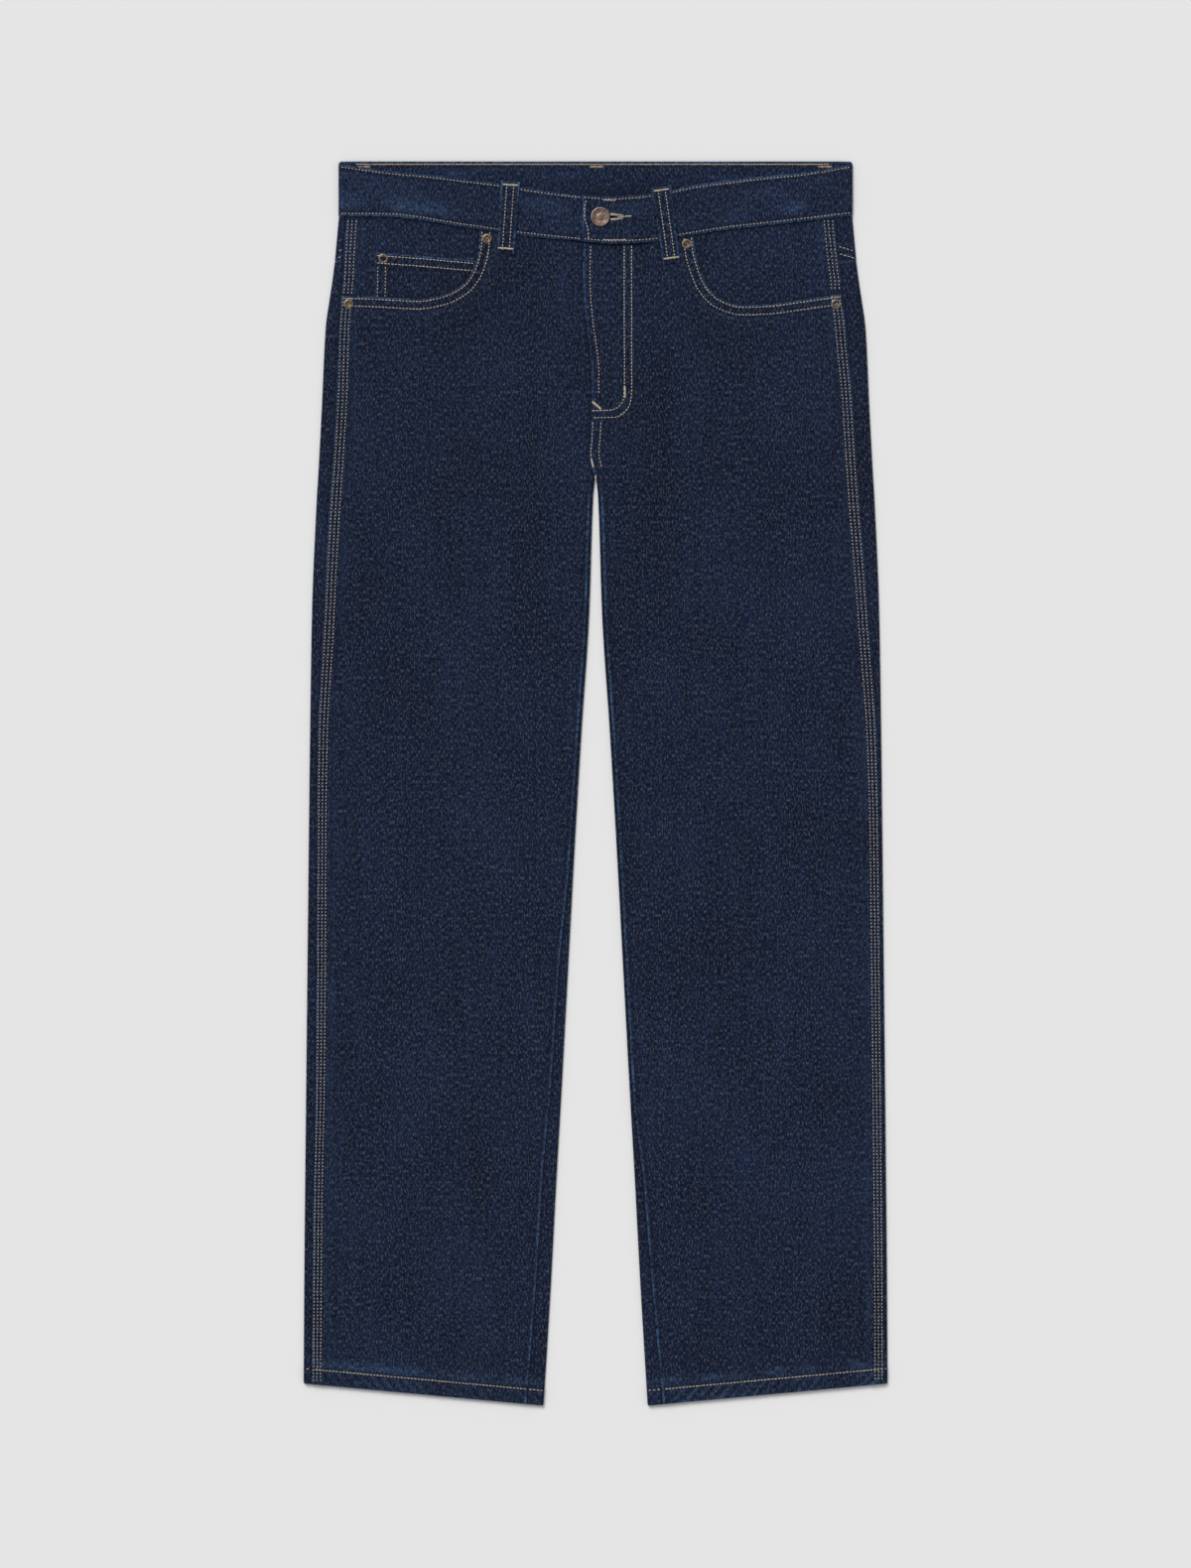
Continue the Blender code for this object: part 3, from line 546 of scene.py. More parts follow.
def shell(name, patches, thickness, finish, opening=None):
    """A closed wall of cloth round the patches' grids. opening leaves out faces, as at a buttonhole."""
    points, quads, data, start = [], [], {"worn": [], "painted_shade": [], "fade": [], "wall": []}, 0
    for piece in patches:
        rows, columns = piece["x"].shape
        index = start + np.arange(rows * columns).reshape(rows, columns)
        corners = (index[:-1, :-1], index[:-1, 1:], index[1:, 1:], index[1:, :-1])
        faces = np.stack(corners, -1).reshape(-1, 4)
        if opening is not None:
            centre = [(piece[k][:-1, :-1] + piece[k][1:, 1:]).ravel() / 2 for k in ("x", "depth", "z")]
            faces = faces[~opening(*centre)]
        place = np.stack([piece["x"], LENGTH / 2 - piece["depth"], piece["z"]], -1).reshape(-1, 3) * MM
        points.append(place)
        quads.append(faces)
        for key, values in data.items():
            values.append(piece[key].ravel())
        start += rows * columns
    points, quads = np.concatenate(points), np.concatenate(quads)
    mesh = bpy.data.meshes.new(name)
    mesh.from_pydata(points.tolist(), [], quads.tolist())
    # Wear, painted shade and tone go to the finish as point attributes.
    for key in ("worn", "painted_shade", "fade"):
        mesh.attributes.new(key, "FLOAT", "POINT").data.foreach_set("value", np.concatenate(data[key]))
    uv = mesh.uv_layers.new(name="cloth")
    corner_points = np.empty(len(mesh.loops), int)
    mesh.loops.foreach_get("vertex_index", corner_points)
    uv.data.foreach_set("uv", points[corner_points, :2].ravel())
    made = bpy.data.objects.new(name, mesh)
    bpy.context.scene.collection.objects.link(made)
    mesh.materials.append(finish)
    group = made.vertex_groups.new(name="wall")
    for i, share in enumerate((np.concatenate(data["wall"]) / thickness).tolist()):
        group.add((i,), share, "REPLACE")
    bpy.ops.object.select_all(action="DESELECT")
    made.select_set(True)
    bpy.context.view_layer.objects.active = made
    bpy.ops.object.mode_set(mode="EDIT")
    bpy.ops.mesh.select_all(action="SELECT")
    bpy.ops.mesh.remove_doubles(threshold=1e-6)
    bpy.ops.mesh.delete_loose()
    bpy.ops.object.mode_set(mode="OBJECT")
    solid = made.modifiers.new("wall", "SOLIDIFY")
    solid.thickness = thickness * MM
    solid.offset = 0.0
    solid.use_even_offset = False
    solid.vertex_group = "wall"
    bpy.ops.object.modifier_apply(modifier="wall")
    bpy.ops.object.shade_smooth_by_angle(angle=math.radians(55))
    return made


def cut_of(patches):
    """The flat size of the cloth in some grids: its width, its length and its area, in metres."""
    width = length = area = 0.0
    for piece in patches:
        place = np.stack([piece["x"], piece["depth"], piece["z"]], -1) * MM
        across = np.linalg.norm(np.diff(place, axis=1), axis=-1)
        down = np.linalg.norm(np.diff(place, axis=0), axis=-1)
        width = width + across.sum(axis=1).max()
        length = max(length, down.sum(axis=0).max())
        one = np.cross(place[1:, 1:] - place[:-1, :-1], place[1:, :-1] - place[:-1, 1:])
        area += np.linalg.norm(one, axis=-1).sum() / 2
    return width, length, min(area, width * length)


CLOTH_PIECES = {}


def lay(made, node, patches, rests_on):
    """Notes what a piece stands for and what it was cut from."""
    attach(made, "root")
    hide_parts(node)
    CLOTH_PIECES[node] = {"piece": made, "cut": cut_of(patches), "rests_on": rests_on, "with": []}
    print(node, "faces:", len(made.data.polygons), "cut:", [round(v, 3) for v in CLOTH_PIECES[node]["cut"]])


# %% [markdown]
# ## Creases
# These jeans lie almost smooth. The press has left a long soft hollow down each inner thigh, a ridge beside
# the fly and a few shallow waves at the hips and knees. Each is one row in a table: a line, how wide it is
# and how far it rises or sinks. The same function serves the hidden back, with its own rows.

# %% Crease table
CREASE_COLUMNS = ("piece", "x_1", "depth_1", "x_2", "depth_2", "half_width", "rise")
CREASES = [
    ("front_right", -51.0, 80.0, -52.0, 300.0, 13.0, -0.9),
    ("front_right", -52.0, 280.0, -47.0, 470.0, 15.0, -0.6),
    ("front_right", -27.0, 92.0, -22.0, 165.0, 9.0, 0.6),
    ("front_right", -200.0, 128.0, -206.0, 215.0, 13.0, 0.5),
    ("front_right", -150.0, 330.0, -165.0, 460.0, 22.0, -0.35),
    ("front_right", -120.0, 540.0, -170.0, 575.0, 16.0, -0.4),
    ("front_right", -95.0, 590.0, -60.0, 640.0, 15.0, 0.35),
    ("front_right", -180.0, 700.0, -150.0, 850.0, 24.0, 0.35),
    ("front_left", 52.0, 130.0, 60.0, 375.0, 13.0, -0.9),
    ("front_left", 36.0, 95.0, 38.0, 182.0, 8.0, 0.6),
    ("front_left", 144.0, 190.0, 146.0, 250.0, 8.0, -0.4),
    ("front_left", 190.0, 140.0, 205.0, 240.0, 15.0, 0.4),
    ("front_left", 95.0, 560.0, 150.0, 600.0, 17.0, -0.4),
    ("front_left", 185.0, 640.0, 205.0, 760.0, 20.0, 0.4),
    ("front_left", 110.0, 780.0, 135.0, 920.0, 22.0, 0.4),
    ("back_right", -60.0, 300.0, -70.0, 420.0, 14.0, 0.5),
    ("back_right", -120.0, 330.0, -150.0, 400.0, 16.0, 0.5),
    ("back_right", -140.0, 600.0, -90.0, 640.0, 16.0, 0.4),
    ("back_left", 60.0, 310.0, 75.0, 440.0, 15.0, 0.5),
    ("back_left", 150.0, 340.0, 125.0, 400.0, 14.0, 0.5),
    ("back_left", 120.0, 610.0, 180.0, 660.0, 18.0, 0.4),
]


def crease(piece, x, depth):
    """The rise of all of a piece's creases, which fade towards their ends and sides."""
    total = np.zeros(np.broadcast(x, depth).shape)
    for row in CREASES:
        facts = dict(zip(CREASE_COLUMNS, row))
        if facts["piece"] != piece:
            continue
        ax, ad, bx, bd = (facts[name] for name in ("x_1", "depth_1", "x_2", "depth_2"))
        half, rise = facts["half_width"], facts["rise"]
        span = np.hypot(bx - ax, bd - ad)
        along = ((x - ax) * (bx - ax) + (depth - ad) * (bd - ad)) / span
        beside = ((x - ax) * (bd - ad) - (depth - ad) * (bx - ax)) / span
        beside = beside + half * 0.35 * ripple(along, 0.0, 60.0, 1.0, int(abs(ax) + ad))
        fade = ramp(along / (0.25 * span)) * ramp((span - along) / (0.25 * span))
        total = total + rise * fade * close_to(beside, 0.0, half)
    return total


def slack(x, depth, seed):
    """The faint unevenness of cloth that was never ironed quite flat."""
    return 0.16 * ripple(x, depth, 46.0, 90.0, seed) + 0.06 * ripple(x, depth, 17.0, 24.0, seed + 1)


print("creases:", len(CREASES))

# %% [markdown]
# ## Backs
# Each back runs from the middle over the table, turns up at the side and comes forward to the outseam, and
# down the inside leg it turns up in the same way. Two grids share the inner edge and are merged there. The
# side strip is what shows on the front, so it gets the closest columns.

# %% Leg rows and hem
LEG_ROWS = np.concatenate([np.arange(243.0, 1026.0, 3.0), np.arange(1026.0, HEM_OUTER, 1.4), [HEM_OUTER]])
FOLD_STEPS = 8
ROPING_PITCH = 9.5


def hem_shape(x, depth_out):
    """How the turned hem stands up: a ridge over the turning, twisted into slanting waves at its edge."""
    into = depth_out - (HEM_OUTER - HEM_HEIGHT)
    slant = np.sin(2 * np.pi * (np.abs(x) + 0.9 * into) / ROPING_PITCH + 2.2 * ripple(x, 0.0, 30.0, 1.0, 5))
    rope = 0.16 * slant * ramp(into / 5.0)
    ditch = -0.22 * close_to(into, -1.5, 1.6)
    return rope + ditch


def hem_wear(x, depth_out):
    into = depth_out - (HEM_OUTER - HEM_HEIGHT)
    slant = np.sin(2 * np.pi * (np.abs(x) + 0.9 * into) / ROPING_PITCH + 2.2 * ripple(x, 0.0, 30.0, 1.0, 5))
    uneven = 0.5 + 0.5 * ripple(x, 0.0, 26.0, 1.0, 9)
    roping = ramp(slant * 0.8 + 0.1) * ramp(into / 4.0) * uneven * 0.62
    above = 0.45 * close_to(into, -4.0, 3.0) * (0.4 + 0.6 * ripple(x, 3.0, 14.0, 1.0, 8))
    edge = 0.5 * ramp((into - 11.5) / 2.0) * uneven
    return np.clip(roping + above + edge, 0.0, 1.0)


def hem_shade(depth_out):
    into = depth_out - (HEM_OUTER - HEM_HEIGHT)
    return 0.30 * close_to(into, 1.0, 2.0) + 0.18 * ramp((into - 2.0) / 3.0)


def strip_columns(side, depth_in, depth_out, thickness):
    """Places from the middle of the back round the fold to the outseam. Returns x, height and the parts."""
    outer = SECTION["outer"](depth_out)
    fold = thickness + GAP / 2
    radius = (thickness + GAP) / 2
    seam = SECTION["outseam_" + side](depth_out) - GAP / 2
    inner = np.where(depth_in >= CROTCH, SECTION["inner"](depth_in) + fold, GAP / 2)
    across = graded(0.0, 1.0, 0.07, 0.012, 0.021)
    flat = mix(inner, outer - fold, across[None, :])
    angle = np.pi * np.arange(1, FOLD_STEPS)[None, :] / FOLD_STEPS
    arc = outer - fold + radius * np.sin(angle)
    over = outer - mix(fold, seam, np.linspace(0.0, 1.0, 9)[None, :])
    x = np.concatenate([flat, arc, over], 1)
    depth = row_depth(x, depth_in, depth_out)
    flat_count, arc_count = flat.shape[1], arc.shape[1]
    z = np.concatenate([
        under_height(flat, depth[:, :flat_count], thickness),
        thickness / 2 + radius * (1 - np.cos(angle)),
        over_height(over, depth[:, flat_count + arc_count:], thickness),
    ], 1)
    return x, depth, z, (flat_count, arc_count)


def seam_wear(distance, at, width, x, depth, seed, share=1.0):
    """A rubbed line beside a seam, stronger and weaker along its length."""
    uneven = 0.55 + 0.45 * ripple(depth, x, 23.0, 60.0, seed)
    return share * uneven * np.exp(-(((distance - at) / width) ** 2))


# %% Make the backs
def make_back(side):
    sign = SIDES[side]
    seam = YOKE_SEAM["side"] + GAP / 2
    hip = graded(seam, FLAT_DEPTH, 8.0, 1.4, 3.2)
    outs = np.concatenate([hip, LEG_ROWS])[:, None]
    drop = np.where(outs < FLAT_DEPTH, yoke_drop(outs), hem_tilt(outs))
    ins = outs + drop
    thick = wall(outs)
    x, depth, z, (flat_count, arc_count) = strip_columns(side, ins, outs, thick)
    on_top = np.arange(x.shape[1])[None, :] >= flat_count + arc_count
    from_seam = x - (SECTION["outer"](outs) - SECTION["outseam_" + side](outs))
    x_signed = sign * x
    shape = crease("back_" + side, x_signed, depth) * (~on_top)
    away = ramp((edge_distance(x, depth) - 2) / 12)
    shape = shape + 0.5 * np.abs(slack(x_signed, depth, 31)) * (~on_top) * away
    z = z + np.maximum(shape, 0.0) + np.where(on_top, hem_shape(x_signed, outs), 0.0)
    worn = np.where(on_top, hem_wear(x_signed, outs) * 0.7, 0.6 * hem_wear(x_signed, outs))
    # Painted shade in the ditch beside the outseam and over the turned hem.
    painted_shade = 0.75 * close_to(from_seam, 0.0, 1.3) * on_top + hem_shade(outs)
    thick = thick * round_edge(HEM_OUTER - outs, 1.2)
    main = patch(x_signed, depth, z, thick, worn, painted_shade, -0.06)

    low = outs[ins[:, 0] >= CROTCH]
    low_in = low + hem_tilt(low)
    wall_low = wall(low)
    fold = wall_low + GAP / 2
    radius = (wall_low + GAP) / 2
    inner = SECTION["inner"](low_in)
    seam_in = SECTION["inseam_" + side](low_in) - GAP / 2
    angle = np.pi * np.arange(0, FOLD_STEPS)[None, :] / FOLD_STEPS
    arc = inner + fold - radius * np.sin(angle)
    over = inner + mix(fold, seam_in, np.linspace(0.0, 1.0, 8)[None, :])
    x = np.concatenate([arc, over], 1)
    depth = row_depth(x, low_in, low)
    start = depth[:, :1]
    z = np.concatenate([
        under_height(inner + fold, start, wall_low) + radius * (1 - np.cos(angle)),
        over_height(over, depth[:, FOLD_STEPS:], wall_low),
    ], 1)
    on_top = np.arange(x.shape[1])[None, :] >= FOLD_STEPS
    z = z + np.where(on_top, hem_shape(x, low), 0.0)
    from_seam = inner + seam_in - x
    worn = hem_wear(sign * x, low) * on_top
    # Painted shade in the ditch beside the inseam and over the turned hem.
    painted_shade = 0.7 * close_to(from_seam, 0.0, 1.2) * on_top + hem_shade(low)
    wrapped = patch(sign * x, depth, z, wall_low * round_edge(HEM_OUTER - low, 1.2), worn, painted_shade, 0.0)
    made = shell("denim_back_" + side, [main, wrapped], HEM, denim)
    lay(made, "back_" + side, [main, wrapped], ["back_pocket_" + side, "table"])


for side_name in SIDES:
    make_back(side_name)

# %% [markdown]
# ## Yokes
# The yoke shapes the seat between the waistband and the back. From the front only a sliver of it shows at
# each side, with two rows of stitches across. It uses the back's own columns, so the two meet in one
# straight seam.

# %% Make the yokes
def make_yoke(side):
    sign = SIDES[side]
    ends = {}
    for name, depth_in, depth_out in (
        ("top", BACK_BAND_BOTTOM + GAP, float(band_bottom(sign * BAND_SIDE)) + GAP),
        ("low", YOKE_SEAM["middle"] - GAP / 2, YOKE_SEAM["side"] - GAP / 2),
    ):
        ends[name] = strip_columns(side, np.array([[depth_in]]), np.array([[depth_out]]), CLOTH)
    flat_count, arc_count = ends["top"][3]
    share = graded(0.0, 1.0, 0.12, 0.03, 0.06)[:, None]
    x = mix(ends["top"][0], ends["low"][0], share)
    middle = flat_count + arc_count // 2
    columns = np.arange(x.shape[1])[None, :]
    start = np.where(columns < middle, back_band_bottom(sign * x), band_bottom(sign * x))
    depth = mix(start + GAP, ends["low"][1], share)
    z = mix(ends["top"][2], ends["low"][2], share)
    z = np.where(columns < flat_count - 1, under_height(x, depth), z)
    z = np.where(columns > flat_count + arc_count, over_height(x, depth), z)
    low_edge = ends["low"][1] - depth
    on_top = columns >= flat_count + arc_count
    from_seam = x - (SECTION["outer"](depth) - SECTION["outseam_" + side](depth))
    worn = seam_wear(low_edge, 0.4, 0.8, x, depth, 3, 0.8)
    # Painted shade in the ditch beside the outseam and beside the lower row of stitches.
    painted_shade = 0.7 * close_to(from_seam, 0.0, 1.3) * on_top + 0.3 * close_to(low_edge, 9.5, 1.2)
    thick = CLOTH * round_edge(low_edge)
    grid = patch(sign * x, depth, z, thick, worn, painted_shade, -0.04)
    lay(shell("denim_yoke_" + side, [grid], CLOTH, denim), "yoke_" + side, [grid], ["table"])


for side_name in SIDES:
    make_yoke(side_name)

# %% [markdown]
# ## Fronts
# A front has four different edges: the curved pocket mouth, the waist, the fly or seat seam, and the two
# long leg seams. Its columns start on the mouth and the waist and run straight down the leg. Along the
# edges the cloth is folded and stitched double, so there it is a little higher, and the fold is rubbed to
# light blue.

# %% Front grid
SCOOP_SHARE = 0.57
FIRST_ROW = 150.0
FLY_REACH = 33.0  # the fly's double cloth reaches to here
FLY_FOOT = 217.0
FELL = 11.0  # width of the folded seam along the outseam
MOUTH_HEM = 10.5


def front_columns():
    mouth = graded(0.0, SCOOP_SHARE, 0.055, 0.0055, 0.0125)
    waist = graded(SCOOP_SHARE, 1.0, 0.05, 0.0055, 0.0125)
    return np.concatenate([mouth, waist[1:]]), len(mouth)


def front_grid(side):
    sign = SIDES[side]
    shares, mouth_count = front_columns()
    scoop_at, _ = path_through(SCOOPS[side])
    mouth = scoop_at(shares[:mouth_count] / SCOOP_SHARE)
    waist_share = (shares[mouth_count:] - SCOOP_SHARE) / (1.0 - SCOOP_SHARE)
    start = mouth[-1, 0]
    end = sign * float(fly_x(70.0)) + GAP / 2
    waist_x = mix(start, end, waist_share)
    mouth[-1, 1] = band_bottom(sign * start) + GAP
    top_x = np.concatenate([mouth[:, 0], waist_x])
    top_depth = np.concatenate([mouth[:, 1], band_bottom(sign * waist_x) + GAP])
    first_x, first_depth = front_row(side, np.array([[FIRST_ROW]]), shares)
    t = np.linspace(0.0, 1.0, 40)[:-1, None] ** 1.35
    x = mix(top_x[None, :], first_x, t)
    depth = mix(top_depth[None, :], first_depth, t)
    shift = sign * fly_x(depth[:, -1:]) + GAP / 2 - x[:, -1:]
    x = x + shift * np.clip((shares - SCOOP_SHARE) / (1.0 - SCOOP_SHARE), 0.0, 1.0)[None, :]
    lower = np.concatenate([np.arange(FIRST_ROW, 240.1, 3.0), LEG_ROWS])[:, None]
    low_x, low_depth = front_row(side, lower, shares)
    outs = np.concatenate([np.full((len(t), 1), FIRST_ROW - 1.0), lower])
    return np.concatenate([x, low_x]), np.concatenate([depth, low_depth]), outs


def front_row(side, depth_out, shares):
    sign = SIDES[side]
    depth_in = depth_out + hem_tilt(depth_out)
    outer = SECTION["outer"](depth_out) - SECTION["outseam_" + side](depth_out) - GAP / 2
    seam = SECTION["inner"](depth_in) + SECTION["inseam_" + side](depth_in) + GAP / 2
    inner = np.where(depth_in >= CROTCH, seam, sign * fly_x(depth_in) + GAP / 2)
    x = mix(outer, inner, shares[None, :])
    return x, row_depth(x, depth_in, depth_out)


def fly_step(x, depth):
    """1 on the fly's double cloth, which ends in a curve like a J, and 0 beyond it."""
    reach = np.hypot(np.maximum(x - 4.0, 0.0), np.maximum(depth - 190.0, 0.0) * 1.05)
    return ramp((FLY_REACH - 4.0 - reach) / 2.5) * ramp((FLY_FOOT + 3.0 - depth) / 3.0)


# %% Make the fronts
def make_front(side):
    sign = SIDES[side]
    x, depth, outs = front_grid(side)
    thick = np.broadcast_to(wall(outs), x.shape)
    z = front_height(side, x, depth, thick)
    signed = sign * x
    outseam = SECTION["outer"](depth) - SECTION["outseam_" + side](depth) - x
    mouth = scoop_distance(side, x, depth)
    beside_mouth = np.where(x > 60.0, mouth, 99.0)
    inseam = np.where(depth >= CROTCH, x - SECTION["inner"](depth) - SECTION["inseam_" + side](depth), 99.0)
    at_fly = np.where(depth < CROTCH, np.abs(signed - fly_x(depth)), 99.0)
    z = z + crease("front_" + side, signed, depth) * ramp(outseam / 14.0) + slack(signed, depth, 11 + sign)
    z = z + 0.50 * (1.0 - ramp((outseam - FELL) / 2.2)) * ramp((outseam + 0.2) / 1.2)
    z = z - 0.25 * np.exp(-(((outseam - FELL - 2.4) / 1.3) ** 2))
    z = z + 0.35 * (1.0 - ramp((beside_mouth - MOUTH_HEM) / 2.0))
    z = z + 0.35 * (1.0 - ramp((inseam - 3.0) / 5.0))
    z = z + hem_shape(signed, outs)
    pucker = 0.10 * ripple(depth, x, 5.5, 40.0, 21) * close_to(outseam, 5.5, 6.0)
    mouth_pucker = 0.10 * ripple(depth + x, x - depth, 6.0, 60.0, 22)
    pucker = pucker + mouth_pucker * close_to(beside_mouth, 5.5, 5.0)
    z = z + pucker
    worn = seam_wear(outseam, 0.5, 0.9, x, depth, 41, 0.85)
    worn = worn + seam_wear(outseam, 12.5, 2.2, x, depth, 42, 0.30)
    worn = worn + seam_wear(beside_mouth, 0.5, 0.9, x, depth, 43, 0.9)
    worn = worn + seam_wear(beside_mouth, 12.2, 1.5, x, depth, 44, 0.25)
    worn = worn + seam_wear(inseam, 1.0, 1.0, x, depth, 45, 1.0) + hem_wear(signed, outs)
    # Painted shade in the ditches inside the folded outseam, over the hem, beside the pocket mouth's inner row
    # and beside the inseam.
    painted_shade = 0.55 * np.exp(-(((outseam - FELL - 1.2) / 1.1) ** 2)) + hem_shade(outs)
    painted_shade = painted_shade + 0.35 * close_to(beside_mouth, MOUTH_HEM, 1.0)
    painted_shade = painted_shade + 0.45 * close_to(inseam, 3.8, 1.2)
    fade = 0.20 * np.exp(-(((signed - sign * 212.0) / 16.0) ** 2) - ((depth - 170.0) / 45.0) ** 2)
    if side == "left":
        step = fly_step(signed, depth)
        z = z + 0.55 * step
        lift_edge = fly_step(signed - 1.5, depth - 1.5) - fly_step(signed + 0.5, depth + 0.5)
        # Painted shadow along the raised J edge of the fly.
        painted_shade = painted_shade + 0.55 * np.clip(fly_step(signed - 2.2, depth - 2.2) - step, 0.0, 1.0)
        worn = worn + seam_wear(at_fly, 0.6, 1.0, x, depth, 46, 0.9) + 0.25 * np.clip(lift_edge, 0.0, 1.0)
        fade = fade + 0.10 * step + 0.12 * ramp((depth - 640.0) / 200.0) * ramp((1000.0 - depth) / 150.0)
    else:
        # Painted shadow where the left front's fly laps over this front.
        painted_shade = painted_shade + 0.6 * close_to(at_fly, 0.0, 1.6)
        fade = fade + 0.06 * ramp((depth - 640.0) / 200.0)
    # The tone follows the front creases: painted shade in their hollows and painted highlight on their ridges, on
    # top of the wear pressed creases take.
    hollow = crease("front_" + side, signed, depth)
    fade = fade + 0.16 * hollow
    waist_gap = depth - band_bottom(signed)
    # Painted shadow under the waistband's lower edge.
    painted_shade = painted_shade + 0.5 * close_to(waist_gap, 0.0, 1.8) * (x < 110.0)
    soft = np.minimum(np.minimum(outseam, mouth), np.minimum(inseam, HEM_OUTER - outs))
    thick = thick * round_edge(np.maximum(soft, 0.0)) * np.where(depth < CROTCH, round_edge(at_fly), 1.0)
    grid = patch(signed, depth, z, thick, np.clip(worn, 0, 1), np.clip(painted_shade, 0, 0.9), fade)
    rests = ["denim_back_" + side, "denim_pocket_facing_" + side]
    lay(shell("denim_front_" + side, [grid], HEM, denim), "front_" + side, [grid], rests)


for side_name in SIDES:
    make_front(side_name)


# %% [markdown]
# ## Pocket facings and the coin pocket
# Behind each curved mouth lies a facing of the same denim. The right one carries the coin pocket, a patch
# with a double hem and two rows down its side. Both run on a little way under the front, as sewn ones do,
# because an edge that stopped at the mouth would show a gap from a low angle.

# %% Make the facings
def scoop_offset(side, away):
    """The mouth's line moved towards the front panel, as hidden edges run."""
    points = np.array(SCOOPS[side])
    ahead = np.concatenate([points[1:], points[-1:]])
    behind = np.concatenate([points[:1], points[:-1]])
    run = ahead - behind
    run = run / np.hypot(*run.T)[:, None]
    return points + np.stack([run[:, 1], -run[:, 0]], -1) * away


FACING_SLACK = 0.875


def make_facing(side):
    sign = SIDES[side]
    low_at, _ = path_through(scoop_offset(side, UNDER_SCOOP))
    lower = low_at(graded(0.0, 1.0, 0.06, 0.012, 0.017))
    seam = float(SECTION["outer"](60.0) - SECTION["outseam_" + side](60.0)) - GAP / 2
    x_top = np.linspace(seam, lower[-1, 0], len(lower))
    top = band_bottom(sign * x_top) + 2 * GAP
    low = np.maximum(lower[:, 1], top + 3.0)
    t = graded(0.0, 1.0, 0.06, 0.02, 0.032)[:, None]
    x = mix(x_top, lower[:, 0], t)
    depth = mix(top, low, t)
    edge = SECTION["outer"](depth[:, :1]) - SECTION["outseam_" + side](depth[:, :1]) - GAP
    x = x + (edge - x[:, :1]) * np.clip(1.0 - np.arange(x.shape[1]) / 12.0, 0.0, 1.0)[None, :]
    signed = sign * x
    outseam = SECTION["outer"](depth) - SECTION["outseam_" + side](depth) - x
    from_band = depth - band_bottom(signed)
    z = over_height(x, depth) + FACING_SLACK * slack(signed, depth, 51)
    z = z + 0.50 * (1.0 - ramp((outseam - FELL) / 2.2)) * ramp((outseam + 0.2) / 1.2)
    worn = seam_wear(outseam, 0.5, 0.9, x, depth, 52, 0.85) + seam_wear(outseam, 13.0, 2.5, x, depth, 53, 0.4)
    # Painted shade in the ditch inside the folded outseam and under the waistband's edge.
    painted_shade = 0.55 * np.exp(-(((outseam - FELL - 1.2) / 1.1) ** 2)) + 0.6 * close_to(from_band, 0.0, 1.8)
    near = scoop_distance(side, x, depth)
    # Painted shade under the pocket mouth's folded edge.
    painted_shade = painted_shade + 0.45 * close_to(near, 0.0, 2.0)
    fade = 0.05 + 0.10 * ramp((from_band - 2.0) / 10.0) * ramp((45.0 - from_band) / 20.0)
    if side == "left":
        # Painted shade: the left facing is darker towards the pocket mouth, under its folded edge.
        fade = fade - 0.12 * ramp((110.0 - x) / 20.0)
    thick = CLOTH * round_edge(np.maximum(outseam, 0.0))
    grid = patch(signed, depth, z, thick, np.clip(worn, 0, 1), np.clip(painted_shade, 0, 0.85), fade)
    made = shell("denim_pocket_facing_" + side, [grid], CLOTH, denim)
    lay(made, "pocket_facing_" + side, [grid], ["denim_back_" + side])


for side_name in SIDES:
    make_facing(side_name)

# %% Make the coin pocket
COIN_SIDE = 49.0


def make_coin_pocket():
    hidden = scoop_offset("right", COIN_UNDER_SCOOP)
    hidden = [point for point in hidden if point[1] > COIN_TOP[-1][1] + 2]
    corner = (COIN_TOP[0][0] + 0.6, COIN_TOP[0][1] + COIN_SIDE)
    low_at, _ = path_through([corner] + [point for point in hidden if point[0] < corner[0] - 4])
    top_at, _ = path_through(COIN_TOP)
    across = graded(0.0, 1.0, 0.09, 0.014, 0.02)
    t = graded(0.0, 1.0, 0.16, 0.02, 0.035)[:, None]
    low, top = low_at(across), top_at(across)
    x = mix(top[:, 0], low[:, 0], t)
    depth = mix(top[:, 1], np.maximum(low[:, 1], top[:, 1] + 3.0), t)
    z = over_height(x, depth) + LAYER + 0.7 * slack(-x, depth, 61)
    from_top = depth - (COIN_TOP[0][1] + (COIN_TOP[0][0] - x) * 0.083)
    from_side = COIN_TOP[0][0] + 0.3 - x
    z = z + 0.4 * (1.0 - ramp((from_top - 10.5) / 1.8)) + 0.25 * (1.0 - ramp((from_side - 11.5) / 1.8))
    worn = seam_wear(from_top, 0.5, 0.8, x, depth, 62, 0.9)
    worn = worn + seam_wear(from_side, 0.5, 0.8, x, depth, 63, 0.9)
    # Painted shade beside the coin pocket's stitch rows.
    painted_shade = 0.5 * close_to(from_top, 11.0, 1.2) + 0.4 * close_to(from_side, 12.0, 1.2)
    near = scoop_distance("right", x, depth)
    # Painted shade under the pocket mouth's folded edge.
    painted_shade = painted_shade + 0.5 * close_to(near, 0.0, 2.2)
    thick = CLOTH * round_edge(np.minimum(from_top, from_side).clip(0.0, None))
    grid = patch(-x, depth, z, thick, np.clip(worn, 0, 1), np.clip(painted_shade, 0, 0.85), -0.04)
    made = shell("denim_coin_pocket", [grid], CLOTH, denim)
    lay(made, "coin_pocket", [grid], ["denim_pocket_facing_right"])


make_coin_pocket()

# %% [markdown]
# ## Back pockets
# The seat carries two plain patch pockets. They lie face down here, so they are seen only from below. Each
# is a five-cornered patch with folded edges and a double hem at its mouth, without any decoration on it.

